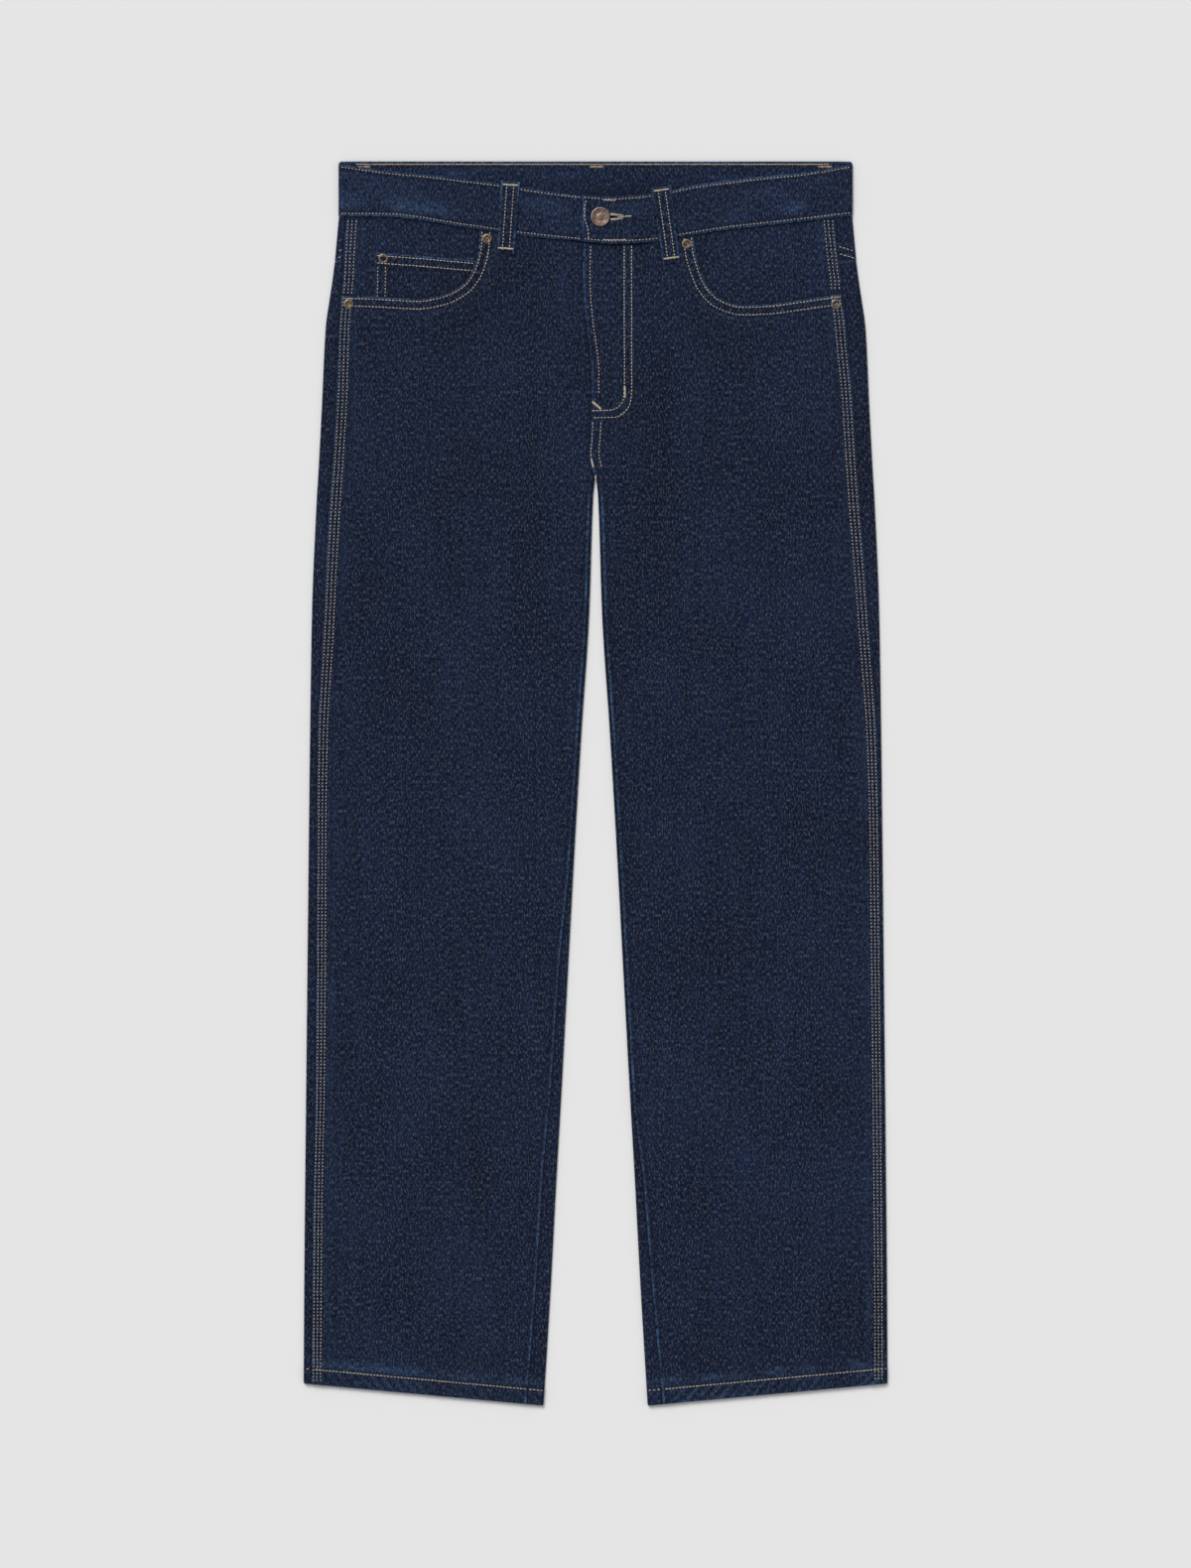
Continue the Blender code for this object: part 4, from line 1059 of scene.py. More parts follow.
# %% Make the back pockets
def make_back_pocket(side):
    sign = SIDES[side]
    left_top, left_low, tip, right_low, right_top = [np.array(corner) for corner in BACK_POCKET]
    across = graded(0.0, 1.0, 0.06, 0.010, 0.022)[None, :, None]
    down = graded(0.0, 1.0, 0.08, 0.010, 0.022)[:, None, None]
    top = mix(left_top, right_top, across)
    low = np.where(across < 0.5, mix(left_low, tip, across * 2), mix(tip, right_low, across * 2 - 1))
    place = mix(top, low, down)
    x, depth = place[..., 0], place[..., 1]
    width = BACK_POCKET[0][0] - BACK_POCKET[-1][0]
    from_side = np.minimum(across[..., 0], 1 - across[..., 0]) * width * np.ones_like(x)
    from_top = down[..., 0] * 155.0 * np.ones_like(x)
    from_end = np.minimum(from_side, np.minimum(from_top, (1 - down[..., 0]) * 155.0))
    z = CLOTH / 2
    worn = seam_wear(from_end, 0.5, 0.9, x, depth, 71, 0.9)
    # Painted shade beside the pocket's stitch rows.
    painted_shade = 0.4 * close_to(from_top, 14.0, 1.2) + 0.3 * close_to(from_side, 9.5, 1.2)
    grid = patch(sign * x, depth, z, CLOTH * round_edge(from_end), np.clip(worn, 0, 1), painted_shade, 0.04)
    lay(shell("denim_back_pocket_" + side, [grid], CLOTH, denim), "back_pocket_" + side, [grid], ["table"])


for side_name in SIDES:
    make_back_pocket(side_name)


# %% [markdown]
# ## Waistband
# The band is one long folded strip that starts at the buttoned end, goes round the left side, the back and
# the right side, and ends beneath its own start. A path gives its edges and height at each step, and the
# rows between them bulge slightly, as a folded strip does between its two stitch lines. Faces are left out
# of the grid for the buttonhole, which is simpler than a Boolean cut and hidden by its stitches.

# %% Band path
BUTTON_PLACE = (4.1, 48.0)
SLOT_END = 18.0
SLOT_HALF = 0.9
EYE_RADIUS = 2.6


def over_end(x):
    start, end = OVER_END_STEP
    return (BAND + GAP) * ramp((end - x) / (end - start))


def band_front(x, lift=0.0, inset=0.0):
    edge = BAND_SIDE - np.abs(x)
    level = BAND * 1.5 + GAP + LAYER * ramp((edge - 1.3) / QUICK_RISE) + lift
    return np.stack([x, band_top(x) + inset, band_bottom(x) - inset, level], -1)


def band_back(x):
    level = BAND / 2 + LAYER * ramp((BAND_SIDE - np.abs(x) - 1.3) / SOFT_RISE)
    return np.stack([x, 0.0 * x, back_band_bottom(x), level], -1)


def band_fold(sign):
    radius = (BAND + GAP) / 2
    centre = BAND_SIDE - BAND / 2 - radius
    front, back = band_front(np.array([sign * BAND_SIDE]))[0], band_back(np.array([sign * BAND_SIDE]))[0]
    share = np.arange(1, FOLD_STEPS)[:, None] / FOLD_STEPS
    x = sign * (centre + radius * np.sin(np.pi * share))
    edges = mix(front[None, 1:3], back[None, 1:3], share)
    return np.concatenate([x, edges, BAND / 2 + radius * (1 + np.cos(np.pi * share))], 1)


def in_buttonhole(x, depth, z):
    """True for faces of the over end inside the keyhole."""
    bx, bd = BUTTON_PLACE
    high = z > band_front(np.array([bx]), over_end(np.array([bx])))[0, 3] - BAND
    slot = (x > bx) & (x < SLOT_END) & (np.abs(depth - bd) < SLOT_HALF)
    return high & (slot | (np.hypot(x - bx, depth - bd) < EYE_RADIUS))


# %% Make the waistband
def make_waistband():
    side = BAND_SIDE - BAND - GAP / 2
    buttoned = np.arange(OVER_END, 30.0, 0.9)
    out = np.linspace(30.0, side, 105)
    under_x = np.linspace(-30.0, UNDER_END, 40)
    path = np.concatenate([
        band_front(buttoned, over_end(buttoned)), band_front(out, over_end(out)), band_fold(1),
        band_back(np.linspace(side, -side, 220)), band_fold(-1)[::-1],
        band_front(np.linspace(-side, -30.0, 105)[:-1]), band_front(under_x, inset=0.5),
    ])
    length = np.concatenate([[0.0], np.cumsum(np.hypot(np.diff(path[:, 0]), np.diff(path[:, 3])))])
    t = graded(0.0, 1.0, 0.14, 0.018, 0.034)
    x = np.repeat(path[:, :1], len(t), 1).T
    depth = mix(path[:, 1], path[:, 2], t[:, None])
    height = path[:, 2] - path[:, 1]
    z = np.repeat(path[:, 3:], len(t), 1).T
    run = np.repeat(length[:, None], len(t), 1).T
    first_fold = len(buttoned) + len(out)
    second_fold = first_fold + (FOLD_STEPS - 1) + 220
    number = np.arange(len(path))[None, :]
    back = (number > first_fold + 2) & (number < second_fold + 4)
    from_top, from_low = t[:, None] * height, (1 - t[:, None]) * height
    edge = np.minimum(from_top, from_low)
    puff = 0.35 * ramp((edge - 3.0) / 7.0) + 0.22 * ripple(run, from_top, 21.0, 30.0, 81) * ramp(edge / 6.0)
    pucker = 0.14 * ripple(run, 0.0, 5.0, 1.0, 82) * close_to(edge, 2.5, 3.0)
    free = np.where(back, 0.25, 1.0) * ramp(np.abs(number - second_fold) / 4.0)
    z = z + np.where(back, 0.0, (puff * 0.9 + pucker) * free)
    start_edge = np.where(number < len(buttoned) + 4, np.abs(x - OVER_END), 99.0)
    worn = seam_wear(edge, 0.5, 1.0, run, depth, 83, 0.95)
    worn = worn + seam_wear(start_edge, 0.5, 1.0, run, depth, 84, 0.9)
    patches = ramp((ripple(run, from_low, 26.0, 14.0, 85) - 0.05) / 0.7)
    low_wear = close_to(from_low, 9.0, 6.0) * ramp((np.abs(x) - 90.0) / 60.0)
    worn = worn + 0.26 * low_wear * patches + 0.12 * patches * ramp((edge - 4.0) / 4.0)
    # Painted shade beside the stitch rows and the end's row, and on the back band towards its lower edge, inside
    # the jeans.
    painted_shade = 0.35 * close_to(edge, 4.6, 0.9) + 0.35 * close_to(start_edge, 6.0, 1.0)
    inside_shade = np.where(back, 0.35 * ramp((from_top - 12.0) / 16.0), 0.0)
    fade = 0.14 + 0.12 * close_to(from_low, 9.0, 8.0) + np.where(back, 0.02, 0.0)
    thick = BAND * round_edge(np.minimum(edge, start_edge), 1.0)
    grid = patch(x, depth, z, thick, np.clip(worn, 0, 1), np.clip(painted_shade + inside_shade, 0, 0.8), fade)
    made = shell("denim_waistband", [grid], BAND, denim, in_buttonhole)
    rests = ["denim_yoke_left", "denim_yoke_right", "denim_front_left", "denim_front_right"]
    lay(made, "waistband", [grid], rests)


make_waistband()


# %% [markdown]
# ## Belt loops
# A loop is a narrow strip, folded in three and sewn down at both ends. The two front loops stand slightly
# off the band. They rise and fall with what lies beneath them, so the height is taken from the band and the
# front.

# %% Make the loops
LOOP_ARCH = 0.9


def under_front_loop(x, depth):
    """The top of what a front loop lies on."""
    side = "right" if float(np.mean(x)) < 0 else "left"
    lift = np.where(x > 0, over_end(x), 0.0)
    on_band = band_front(x, lift)[..., 3] + BAND / 2 + 0.45
    on_front = front_height(side, np.abs(x), depth) + CLOTH / 2 + 0.1
    return np.where(depth < band_bottom(x), on_band, on_front)


def make_loop(row):
    name, face, top_x, top, top_width, end_x, end, end_width = row
    share = graded(0.0, 1.0, 0.08, 0.02, 0.035)[:, None]
    across = graded(-0.5, 0.5, 0.14, 0.045, 0.07)[None, :]
    centre_x = mix(top_x, end_x, share)
    uneven = ripple(share * 60.0, 0.0, 9.0, 1.0, int(abs(top_x)))
    width = mix(top_width, end_width, share) * (1.0 + 0.03 * uneven)
    x = centre_x + across * width
    depth = mix(top, end, share) + across * 0.0
    if face == "front":
        lean = (end_x - top_x) / (end - top)
        depth = depth - across * width * lean
        spread = np.linspace(-0.5, 0.5, 5)[None, :] * width
        held = under_front_loop(centre_x + spread, mix(top, end, share) + 0.0 * spread)
        held = held.max(axis=1, keepdims=True)
        edge_level = under_front_loop(centre_x, band_bottom(centre_x) - 1.0)
        z = np.maximum(held, edge_level) + CLOTH / 2 + 0.1
        z = z + LOOP_ARCH * np.sin(np.pi * np.clip(share, 0.0, 1.0)) ** 0.7
        z = z - 0.7 * (1.0 - ramp(share / 0.05)) - 0.9 * (1.0 - ramp((1.0 - share) / 0.06))
        z = z + 0.18 * np.cos(np.pi * across) + 0.0 * x
    else:
        z = CLOTH / 2 + 0.0 * x
    edge = (0.5 - np.abs(across)) * width
    worn = seam_wear(edge, 0.4, 0.9, x, depth, 91, 1.0) + 0.35 * (1.0 - ramp(share / 0.06))
    # Painted shade beside the loop's stitch rows.
    painted_shade = 0.45 * close_to(edge, 3.4, 0.8)
    ends = np.minimum(share, 1.0 - share) * (end - top)
    thick = CLOTH * round_edge(np.minimum(edge, ends + 0.2))
    grid = patch(x, depth, z, thick, np.clip(worn, 0, 1), np.clip(painted_shade, 0, 0.8), 0.05)
    rests = ["denim_waistband"] if face == "front" else ["table"]
    lay(shell("denim_" + name, [grid], CLOTH, denim), name, [grid], rests)


for loop_row in LOOPS:
    make_loop(loop_row)

# %% [markdown]
# ## Thread
# Topstitching is thick tan thread. Each stitch goes down into the cloth, comes up and lies proud of it for
# about two millimetres. A dotted line in the material would be cheap, but real stitches catch the light and
# cast the small shadows that make a seam look sewn. One small stitch shape of a few faces is repeated along
# each row by numpy, and a ray sent down on the finished panel sets its height.

# %% Thread finishes
TAN_THREAD = (0.70, 0.60, 0.45)
GOLD_THREAD = (0.52, 0.39, 0.25)


def thread_finish(name, base):
    finish, tree, shader = new_finish(name)
    place = add_node(tree, "ShaderNodeTexCoord").outputs["Object"]
    speck = add_node(tree, "ShaderNodeTexNoise")
    speck.inputs["Scale"].default_value = 900.0
    tree.links.new(place, speck.inputs["Vector"])
    tone = calculate(tree, "ADD", calculate(tree, "MULTIPLY", speck.outputs[0], 0.7), 0.45)
    tone = calculate(tree, "MULTIPLY", tone, calculate(tree, "ADD", painted(tree, "fade"), 1.0))
    scaled = add_node(tree, "ShaderNodeVectorMath", operation="SCALE")
    scaled.inputs[0].default_value = base
    tree.links.new(tone, scaled.inputs["Scale"])
    tree.links.new(scaled.outputs[0], shader.inputs["Base Color"])
    twist = add_node(tree, "ShaderNodeTexWave", wave_type="BANDS", bands_direction="DIAGONAL")
    twist.inputs["Scale"].default_value = 700.0
    tree.links.new(place, twist.inputs["Vector"])
    bump = add_node(tree, "ShaderNodeBump")
    bump.inputs["Strength"].default_value = 0.4
    bump.inputs["Distance"].default_value = 0.0001
    tree.links.new(twist.outputs["Fac"], bump.inputs["Height"])
    tree.links.new(bump.outputs[0], shader.inputs["Normal"])
    shader.inputs["Roughness"].default_value = 0.7
    shader.inputs["Specular IOR Level"].default_value = 0.2
    return finish


THREADS = {
    "tan": thread_finish("tan_thread", TAN_THREAD),
    "gold": thread_finish("gold_thread", GOLD_THREAD),
}
print("threads:", list(THREADS))

# %% Stitch shapes
STITCH_RINGS = ((0.0, 0.35, -0.35), (0.22, 0.9, 0.12), (0.78, 0.9, 0.12), (1.0, 0.35, -0.35))
STITCH_SIDES = 5
STITCH_WIDTH = 0.78
STITCH_HEIGHT = 0.42
RNG = np.random.default_rng(7)
SEWN = {}


def tubes(starts, ends, width, height):
    """Verts and faces of many short stitches, given where each goes in and comes out. All in millimetres."""
    run = ends - starts
    size = np.linalg.norm(run, axis=1, keepdims=True)
    run = run / np.maximum(size, 1e-6)
    up = np.array([0.0, 0.0, 1.0])
    beside = np.cross(run, up)
    beside = beside / np.linalg.norm(beside, axis=1, keepdims=True)
    angle = 2 * np.pi * np.arange(STITCH_SIDES) / STITCH_SIDES
    rings = []
    for share, swell, lift in STITCH_RINGS:
        centre = starts + run * size * share + up * lift * height
        ring = centre[:, None, :] + beside[:, None, :] * (np.cos(angle) * width * swell / 2)[None, :, None]
        rings.append(ring + up * (np.sin(angle) * height * swell / 2)[None, :, None])
    verts = np.stack(rings, 1).reshape(len(starts), -1, 3)
    faces = []
    for ring in range(len(STITCH_RINGS) - 1):
        for i in range(STITCH_SIDES):
            j = (i + 1) % STITCH_SIDES
            a, b = ring * STITCH_SIDES, (ring + 1) * STITCH_SIDES
            faces.append((a + i, a + j, b + j, b + i))
    caps = [tuple(range(STITCH_SIDES))[::-1], tuple(range(verts.shape[1] - STITCH_SIDES, verts.shape[1]))]
    return verts, faces, caps


class Panel:
    """A finished piece of cloth that rays can be sent down on, or up on from the table."""

    def __init__(self, node):
        piece = CLOTH_PIECES[node]["piece"]
        self.tree = BVHTree.FromObject(piece, bpy.context.evaluated_depsgraph_get())

    def height(self, x, depth, below=False):
        start = Vector((x * MM, (LENGTH / 2 - depth) * MM, -0.02 if below else 0.03))
        hit = self.tree.ray_cast(start, Vector((0, 0, 1 if below else -1)))
        return None if hit[0] is None else hit[0].z / MM


PANELS = {}
PITCH = 2.9  # from one stitch to the next


def sew(
    node, points, thread="tan", pitch=PITCH, length=1.85, width=STITCH_WIDTH, below=False, jitter=1.0, tone=0.0
):
    """A row of stitches on a piece of cloth, along a line through some points."""
    panel = PANELS.setdefault(node, Panel(node))
    points = np.array(points, float)
    steps = np.hypot(*np.diff(points, axis=0).T)
    total = np.concatenate([[0.0], np.cumsum(steps)])
    count = max(1, int(total[-1] / pitch))
    at = (np.arange(count) + 0.5) * total[-1] / count
    made = []
    for place in at:
        half = length * (1.0 + 0.10 * jitter * RNG.uniform(-1, 1)) / 2
        ends = []
        for spot in (place - half, place + half):
            x = np.interp(spot, total, points[:, 0]) + 0.09 * jitter * RNG.uniform(-1, 1)
            depth = np.interp(spot, total, points[:, 1]) + 0.09 * jitter * RNG.uniform(-1, 1)
            if spot < 0 or spot > total[-1]:
                over = min(max(spot, 0.0), total[-1])
                lean = np.array([np.interp(over, total, points[:, k]) for k in (0, 1)])
                x, depth = lean
            z = panel.height(x, depth, below)
            if z is not None:
                ends.append((x, LENGTH / 2 - depth, z))
        if len(ends) == 2 and abs(ends[0][2] - ends[1][2]) < 1.2 and ends[0] != ends[1]:
            made.append(ends)
    if made:
        made = np.array(made)
        SEWN.setdefault((node, thread), []).append((made[:, 0], made[:, 1], width, below, tone))
    return len(made)


def bartack(node, start, end, width=2.0, thread="tan", below=False):
    """A short dense bar of thread across a place that takes strain."""
    start, end = np.array(start, float), np.array(end, float)
    run = (end - start) / np.hypot(*(end - start))
    over = np.array([-run[1], run[0]]) * width / 2
    sew(node, [start, end], thread, pitch=4.0, length=4.6, width=0.9, below=below)
    for share in np.linspace(0.0, 1.0, max(4, int(np.hypot(*(end - start)) / 0.75))):
        middle = mix(start, end, share) + RNG.uniform(-0.12, 0.12, 2)
        sew(node, [middle - over, middle + over], thread, 9.0, width, 0.55, below, 0.5, 0.15)


def finish_sewing():
    """Joins all the stitches of a piece into one mesh."""
    for (node, thread), rows in SEWN.items():
        all_verts, all_faces, tones, start = [], [], [], 0
        for starts, ends, width, below, tone in rows:
            sink = -1.0 if below else 1.0
            height = STITCH_HEIGHT * width / STITCH_WIDTH
            verts, faces, caps = tubes(starts * [1, 1, sink], ends * [1, 1, sink], width, height)
            verts = verts * [1, 1, sink]
            count, each = verts.shape[0], verts.shape[1]
            if below:
                faces = [tuple(reversed(face)) for face in faces]
                caps = [tuple(reversed(face)) for face in caps]
            offsets = start + each * np.arange(count)
            for face in faces + caps:
                all_faces.extend((offsets[:, None] + np.array(face)[None, :]).tolist())
            all_verts.append(verts.reshape(-1, 3))
            tones.append(np.repeat(RNG.uniform(-0.18, 0.18, count) + tone, each))
            start += count * each
        mesh = bpy.data.meshes.new(f"{thread}_stitches_{node}")
        mesh.from_pydata((np.concatenate(all_verts) * MM).tolist(), [], all_faces)
        mesh.attributes.new("fade", "FLOAT", "POINT").data.foreach_set("value", np.concatenate(tones))
        made = bpy.data.objects.new(mesh.name, mesh)
        bpy.context.scene.collection.objects.link(made)
        mesh.materials.append(THREADS[thread])
        mesh.shade_smooth()
        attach(made, "root")
        CLOTH_PIECES[node]["with"].append(made)
        print(mesh.name, "triangles:", sum(len(f) - 2 for f in all_faces))


# %% [markdown]
# ## Rows along the seams
# A sewing room names each seam by its edge, so the rows are given as distances in from an edge: three along
# the outseam, two round each pocket mouth, one beside the fly's edge, two in the J below the button, one
# round each hem. Only the J and the bar tacks are given as their own places.

# %% Long seams
INSET_COLUMNS = ("depth", "inset")
OUTSEAM_ROWS = [(47, 5.6), (420, 5.6), (560, 4.7), (1065, 4.6)]
outseam_inset = curve_of(INSET_COLUMNS, OUTSEAM_ROWS, "depth", "inset")
ROW_APART = 3.4


def sew_outseams():
    for side, sign in SIDES.items():
        mouth = SCOOPS[side][0][1]
        stretches = (("pocket_facing_", 50.0, mouth - 1.0), ("front_", mouth + 1.0, HEM_OUTER + 0.5))
        for piece, start, end in stretches:
            node = piece + side
            depth = np.arange(start, end, 4.0)
            edge = SECTION["outer"](depth) - SECTION["outseam_" + side](depth)
            for row in (-1, 0, 1):
                apart = ROW_APART * mix(1.0, 0.88, ramp((depth - 400.0) / 200.0))
                x = edge - outseam_inset(depth) + row * apart
                sew(node, np.stack([sign * x, depth], -1), pitch=PITCH, length=1.65, width=0.76, tone=-0.05)


def sew_hems():
    for side, sign in SIDES.items():
        for node, below in (("front_" + side, False), ("back_" + side, False), ("back_" + side, True)):
            out = HEM_OUTER - HEM_HEIGHT + 1.0
            outer, inner = float(SECTION["outer"](out)), float(SECTION["inner"](out + 19.0))
            share = np.linspace(0.004, 0.996, 40)
            if node.startswith("back") and not below:
                outseam, inseam = SECTION["outseam_" + side](out), SECTION["inseam_" + side](out + 19.0)
                share = np.linspace(0.003, float(outseam) / (outer - inner) - 0.003, 4)
                row = [(sign * (outer - s * (outer - inner)), out + 19.0 * s) for s in share]
                sew(node, row, pitch=PITCH, length=2.5)
                share = np.linspace(1.0 - float(inseam) / (outer - inner) + 0.003, 0.997, 4)
            row = [(sign * (outer - s * (outer - inner)), out + 19.0 * s) for s in share]
            sew(node, row, pitch=PITCH, length=2.5, below=below)


sew_outseams()
sew_hems()
print("rows on the fronts so far:", len(SEWN[("front_left", "tan")]))


# %% Pocket mouths, coin pocket and fly
def inset_line(side, inset, start=0.0, end=1.0, count=60):
    """A line beside the pocket mouth, this far into the front."""
    point_at, _ = path_through(SCOOPS[side])
    share = np.linspace(start, end, count)
    line = point_at(share)
    run = np.gradient(line, axis=0)
    run = run / np.hypot(*run.T)[:, None]
    line = line + np.stack([run[:, 1], -run[:, 0]], -1) * inset
    line[:, 0] = line[:, 0] * SIDES[side]
    return line


def sew_fronts():
    for side in SIDES:
        for inset in (2.2, 8.6):
            sew("front_" + side, inset_line(side, inset, 0.015, 0.99), pitch=PITCH, length=2.15)
    depth = np.linspace(72.0, 199.0, 40)
    sew("front_left", np.stack([fly_x(depth) + 6.3, depth], -1), pitch=PITCH, length=1.8)
    inner = [
        (24.6, 72.0), (24.6, 130.0), (24.9, 190.0), (24.0, 203.0), (20.0, 210.0), (14.0, 213.0), (-3.0, 213.6),
    ]
    outer = [
        (30.9, 72.0), (30.9, 130.0), (31.0, 196.0), (29.6, 207.5), (25.0, 214.5), (18.0, 219.0), (-2.0, 219.6),
    ]
    for line in (inner, outer):
        point_at, _ = path_through(line)
        sew("front_left", point_at(np.linspace(0.0, 1.0, 70)), pitch=PITCH, length=2.3)
    for inset in (1.8, 8.6):
        depth = np.linspace(223.0, 262.0, 16)
        sew("front_left", np.stack([fly_x(depth) + inset, depth], -1), pitch=PITCH, length=2.2, tone=-0.1)
    bartack("front_left", (25.0, 193.0), (25.3, 202.0))
    bartack("front_left", (-2.5, 206.0), (4.5, 212.0), 2.6)
    bartack("front_left", (-3.5, 255.0), (-2.0, 262.0))


def coin_line(inset):
    return [(-x, depth + inset) for x, depth in ((187.0, 78.4), (146.0, 81.4), (104.0, 85.2))]


def sew_coin_pocket():
    for inset in (2.5, 8.9):
        sew("coin_pocket", coin_line(inset), pitch=PITCH, length=2.2)
    for inset in (2.8, 9.4):
        side = [(-188.9 + inset, 90.0), (-189.3 + inset, 117.0)]
        sew("coin_pocket", side, pitch=PITCH, length=1.7)


def sew_yokes():
    for side, sign in SIDES.items():
        node = "yoke_" + side
        for offset in (2.6, 8.8):
            depth_out, depth_in = YOKE_SEAM["side"] - offset, YOKE_SEAM["middle"] - offset
            outer = float(SECTION["outer"](depth_out))
            seam = outer - float(SECTION["outseam_" + side](depth_out))
            x = np.linspace(outer - 1.2, seam + 0.5, 8)
            sew(node, np.stack([sign * x, depth_out - 0.3 * (outer - x)], -1), pitch=PITCH, length=2.4)
            x = np.linspace(1.5, outer - 2.0, 60)
            sew(node, np.stack([sign * x, mix(depth_out, depth_in, 1 - x / outer)], -1), below=True)


sew_fronts()
sew_coin_pocket()
sew_yokes()
print("rows on the left front:", len(SEWN[("front_left", "tan")]))


# %% Band, loops and back pockets
def sew_band():
    side = BAND_SIDE - 2.0
    for start, end in ((OVER_END + 1.0, side), (-side, OVER_END - 1.5)):
        x = np.linspace(start, end, 120)
        sew("waistband", np.stack([x, band_top(x) + 2.3], -1), pitch=PITCH, length=1.7)
        sew("waistband", np.stack([x, band_bottom(x) - 2.6], -1), pitch=PITCH, length=1.7)
    x = np.linspace(-5.0, 26.0, 12)
    double = {"pitch": 2.7, "length": 2.6, "width": 0.8, "tone": 0.2}
    sew("waistband", np.stack([x[4:9], band_top(x[4:9]) + 3.3], -1), **double)
    sew("waistband", np.stack([x[4:], band_bottom(x[4:]) - 3.5], -1), **double)
    end_row = [(-8.0, 33.5), (-9.4, 41.0), (-8.9, 50.0), (-6.2, 60.5), (-6.0, 67.0)]
    point_at, _ = path_through([(depth, x) for x, depth in end_row])
    line = point_at(np.linspace(0.0, 1.0, 20))[:, ::-1]
    sew("waistband", line, pitch=PITCH, length=2.3)
    x = np.linspace(-205.0, 200.0, 80)
    sew("waistband", np.stack([x, 2.6 + 0.0 * x], -1), "gold", 2.5, 2.9, 1.15, jitter=1.6)
    for tack in (-198.5, 1.0, 196.5):
        bartack("waistband", (tack - 5.5, 4.6), (tack + 5.5, 4.6), 2.2, "gold")
    x = np.linspace(-side + 3, side - 3, 160)
    sew("waistband", np.stack([x, 2.3 + 0.0 * x], -1), below=True)
    sew("waistband", np.stack([x, back_band_bottom(x) - 2.6], -1), below=True)


def sew_buttonhole():
    bx, bd = BUTTON_PLACE
    for step in np.arange(9.0, 19.2, 0.62):
        half = mix(4.6, 1.3, (step - 9.0) / 10.0)
        for side in (-1, 1):
            near, far = bd + side * (SLOT_HALF + 0.1), bd + side * (SLOT_HALF + 0.2 + half * 0.5)
            line = [(bx + step, near), (bx + step + 0.3, far)]
            sew("waistband", line, pitch=9.0, length=1.5 + half * 0.3, width=0.62, tone=0.05)
    bartack("waistband", (bx + 15.5, bd), (bx + 26.5, bd - 0.6), 1.3)


def sew_loops():
    for name, face, top_x, top, _, end_x, end, _ in LOOPS:
        below = face == "back"
        lean = (end_x - top_x) / (end - top)
        for across in (-3.0, 3.0):
            line = [(top_x + across, top + 1.5 - across * lean), (end_x + across, end - 2.5 - across * lean)]
            sew(name, line, pitch=PITCH, length=2.0, below=below)
        for depth, where in ((top + 3.0, top_x), (end - 4.5, end_x)):
            start, finish = (where - 6.2, depth + 6.2 * lean), (where + 6.2, depth - 6.2 * lean)
            bartack(name, start, finish, 1.7, below=below)


def sew_back_pockets():
    for side, sign in SIDES.items():
        corners = np.array(BACK_POCKET)
        centre = corners.mean(axis=0)
        for inset in (2.4, 8.6):
            shrunk = centre + (corners - centre) * (1.0 - inset / np.abs(corners - centre).max(axis=0)[0])
            line = [(sign * x, depth) for x, depth in shrunk]
            for a, b in zip(line, line[1:]):
                sew("back_pocket_" + side, [a, b], below=True)
        for inset in (2.4, 13.0):
            a, b = corners[0] + (-2.5, inset), corners[-1] + (2.5, inset)
            sew("back_pocket_" + side, [(sign * a[0], a[1]), (sign * b[0], b[1])], below=True)
        for corner, inwards in ((corners[0], -1), (corners[-1], 1)):
            x, depth = corner[0] + 3.0 * inwards, corner[1]
            bar = ((sign * x, depth + 3.0), (sign * x, depth + 12.0))
            bartack("back_pocket_" + side, *bar, 1.8, below=True)


sew_band()
sew_buttonhole()
sew_loops()
sew_back_pockets()
finish_sewing()
print("sewn pieces:", len(SEWN))

# %% [markdown]
# ## Button and rivets
# A jeans button is a pressed copper cap with a rolled rim round a shallow dish, and a rivet is a ring with
# a burr in its middle. Both have gone brown with handling, brighter where they rub. Each starts as a
# cylinder, and repeated insets of its top face, up or down, turn it into rings, which a bevel then softens.

# %% Metal finish
def metal_finish(name, bright, dark, scale):
    finish, tree, shader = new_finish(name)
    place = add_node(tree, "ShaderNodeTexCoord").outputs["Object"]
    patina = add_node(tree, "ShaderNodeTexNoise")
    patina.inputs["Scale"].default_value = scale
    patina.inputs["Detail"].default_value = 4.0
    tree.links.new(place, patina.inputs["Vector"])
    edges = add_node(tree, "ShaderNodeNewGeometry").outputs["Pointiness"]
    rubbed = step_between(tree, edges, 0.49, 0.58)
    share = calculate(tree, "ADD", step_between(tree, patina.outputs[0], 0.35, 0.7), rubbed, clamp=True)
    tree.links.new(blend(tree, share, dark, bright), shader.inputs["Base Color"])
    rough = calculate(tree, "SUBTRACT", 0.62, calculate(tree, "MULTIPLY", share, 0.22))
    tree.links.new(rough, shader.inputs["Roughness"])
    bump = add_node(tree, "ShaderNodeBump")
    bump.inputs["Strength"].default_value = 0.25
    bump.inputs["Distance"].default_value = 0.0001
    tree.links.new(patina.outputs[0], bump.inputs["Height"])
    tree.links.new(bump.outputs[0], shader.inputs["Normal"])
    shader.inputs["Metallic"].default_value = 1.0
    return finish


button_copper = metal_finish("button_copper", (0.30, 0.215, 0.18), (0.12, 0.085, 0.07), 260.0)
rivet_copper = metal_finish("rivet_copper", (0.27, 0.20, 0.15), (0.05, 0.036, 0.030), 500.0)
print("metals made")


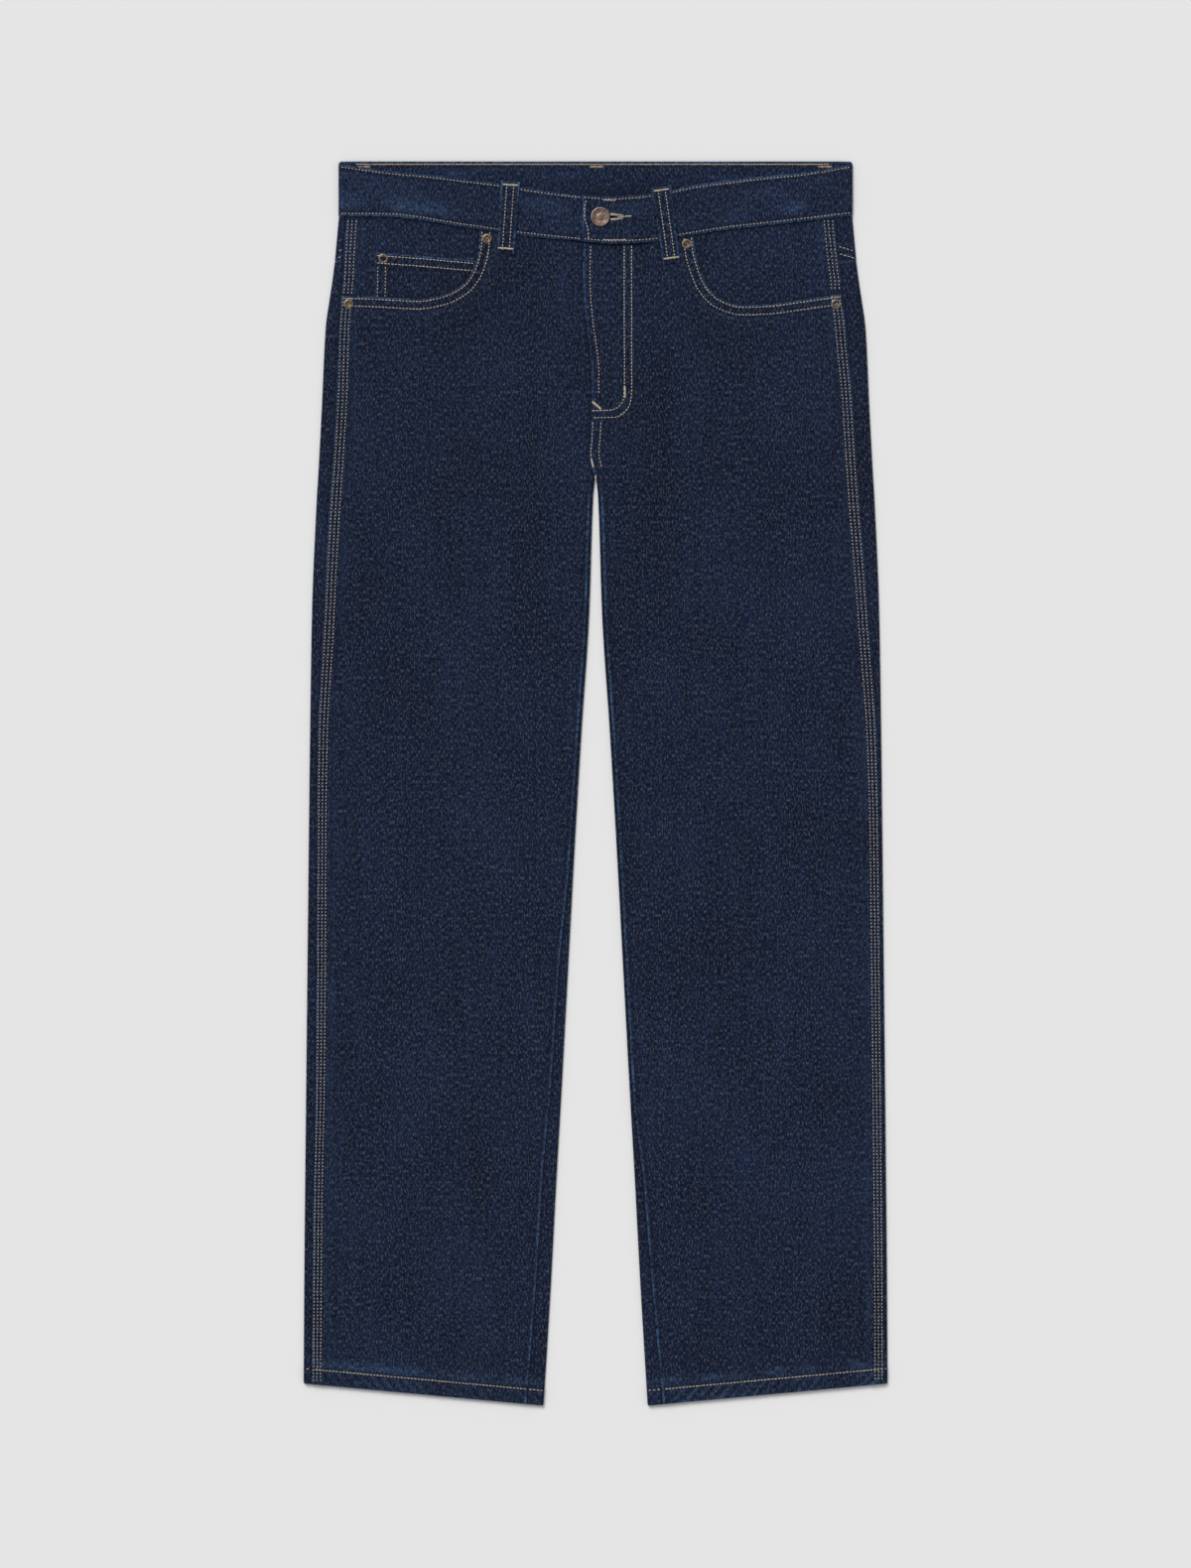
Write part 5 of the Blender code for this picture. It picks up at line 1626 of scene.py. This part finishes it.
# %% Model a pressed metal piece
def pressed(name, centre, radius, depth, rings, finish, node):
    """A cylinder whose top face is inset ring by ring. A ring is (how far in, how far up), in millimetres."""
    bpy.ops.object.select_all(action="DESELECT")
    x, place_depth, z = centre
    where = (x * MM, (LENGTH / 2 - place_depth) * MM, (z + depth / 2) * MM)
    bpy.ops.mesh.primitive_cylinder_add(vertices=48, radius=radius * MM, depth=depth * MM, location=where)
    made = bpy.context.active_object
    made.name = name
    bpy.ops.object.mode_set(mode="EDIT")
    bpy.ops.mesh.select_all(action="DESELECT")
    work = bmesh.from_edit_mesh(made.data)
    bpy.ops.mesh.select_mode(type="FACE")
    for face in work.faces:
        face.select_set(face.normal.z > 0.9)
    bmesh.update_edit_mesh(made.data)
    for inwards, up in rings:
        bpy.ops.mesh.inset(thickness=inwards * MM, depth=up * MM)
    bpy.ops.object.mode_set(mode="OBJECT")
    bevel = made.modifiers.new("soft", "BEVEL")
    bevel.width = 0.12 * MM
    bevel.segments = 2
    bevel.limit_method = "ANGLE"
    bpy.ops.object.modifier_apply(modifier="soft")
    bpy.ops.object.transform_apply(location=True, rotation=True, scale=True)
    bpy.ops.object.shade_smooth_by_angle(angle=math.radians(40))
    made.data.materials.append(finish)
    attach(made, "root")
    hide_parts(node)
    return made


BUTTON_RADIUS = 8.2
RIVET_RADIUS = 4.15
BUTTON_RINGS = [
    (0.25, 0.28), (0.35, 0.12), (0.55, 0.0), (0.35, -0.12), (0.35, -0.42), (0.5, -0.1), (1.9, 0.1), (0.25, -0.12),
    (0.5, 0.0), (0.25, 0.16), (1.2, 0.22), (0.8, 0.06),
]
_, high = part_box("button")
button_base = high.z / MM - 2.2
place = (*BUTTON_PLACE, button_base)
pressed("jeans_button", place, BUTTON_RADIUS, 1.3, BUTTON_RINGS, button_copper, "button")
RIVET_RINGS = [
    (0.3, 0.22), (0.5, 0.12), (0.55, 0.0), (0.35, -0.3), (0.35, -0.35), (0.45, 0.0), (0.25, -0.12), (0.5, 0.1),
]
for rivet_name in sorted(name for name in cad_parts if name.startswith("rivet_")):
    low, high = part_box(rivet_name)
    middle = ((low + high) / 2) / MM
    place = (middle.x, LENGTH / 2 - middle.y, low.z / MM)
    name = "copper_" + rivet_name
    pressed(name, place, RIVET_RADIUS, 0.55, RIVET_RINGS, rivet_copper, rivet_name)
print("button top:", round(button_base + 1.7, 2), "mm")

# %% [markdown]
# Every sheet of cloth has a note of what it was cut from before it was sewn: its width and length laid flat, its
# area, what it lies on and the stitches that go with it. The sizes were measured on the grids, so they are
# true.

# %% Count every sheet
print("sheets declared:", len(CLOTH_PIECES))
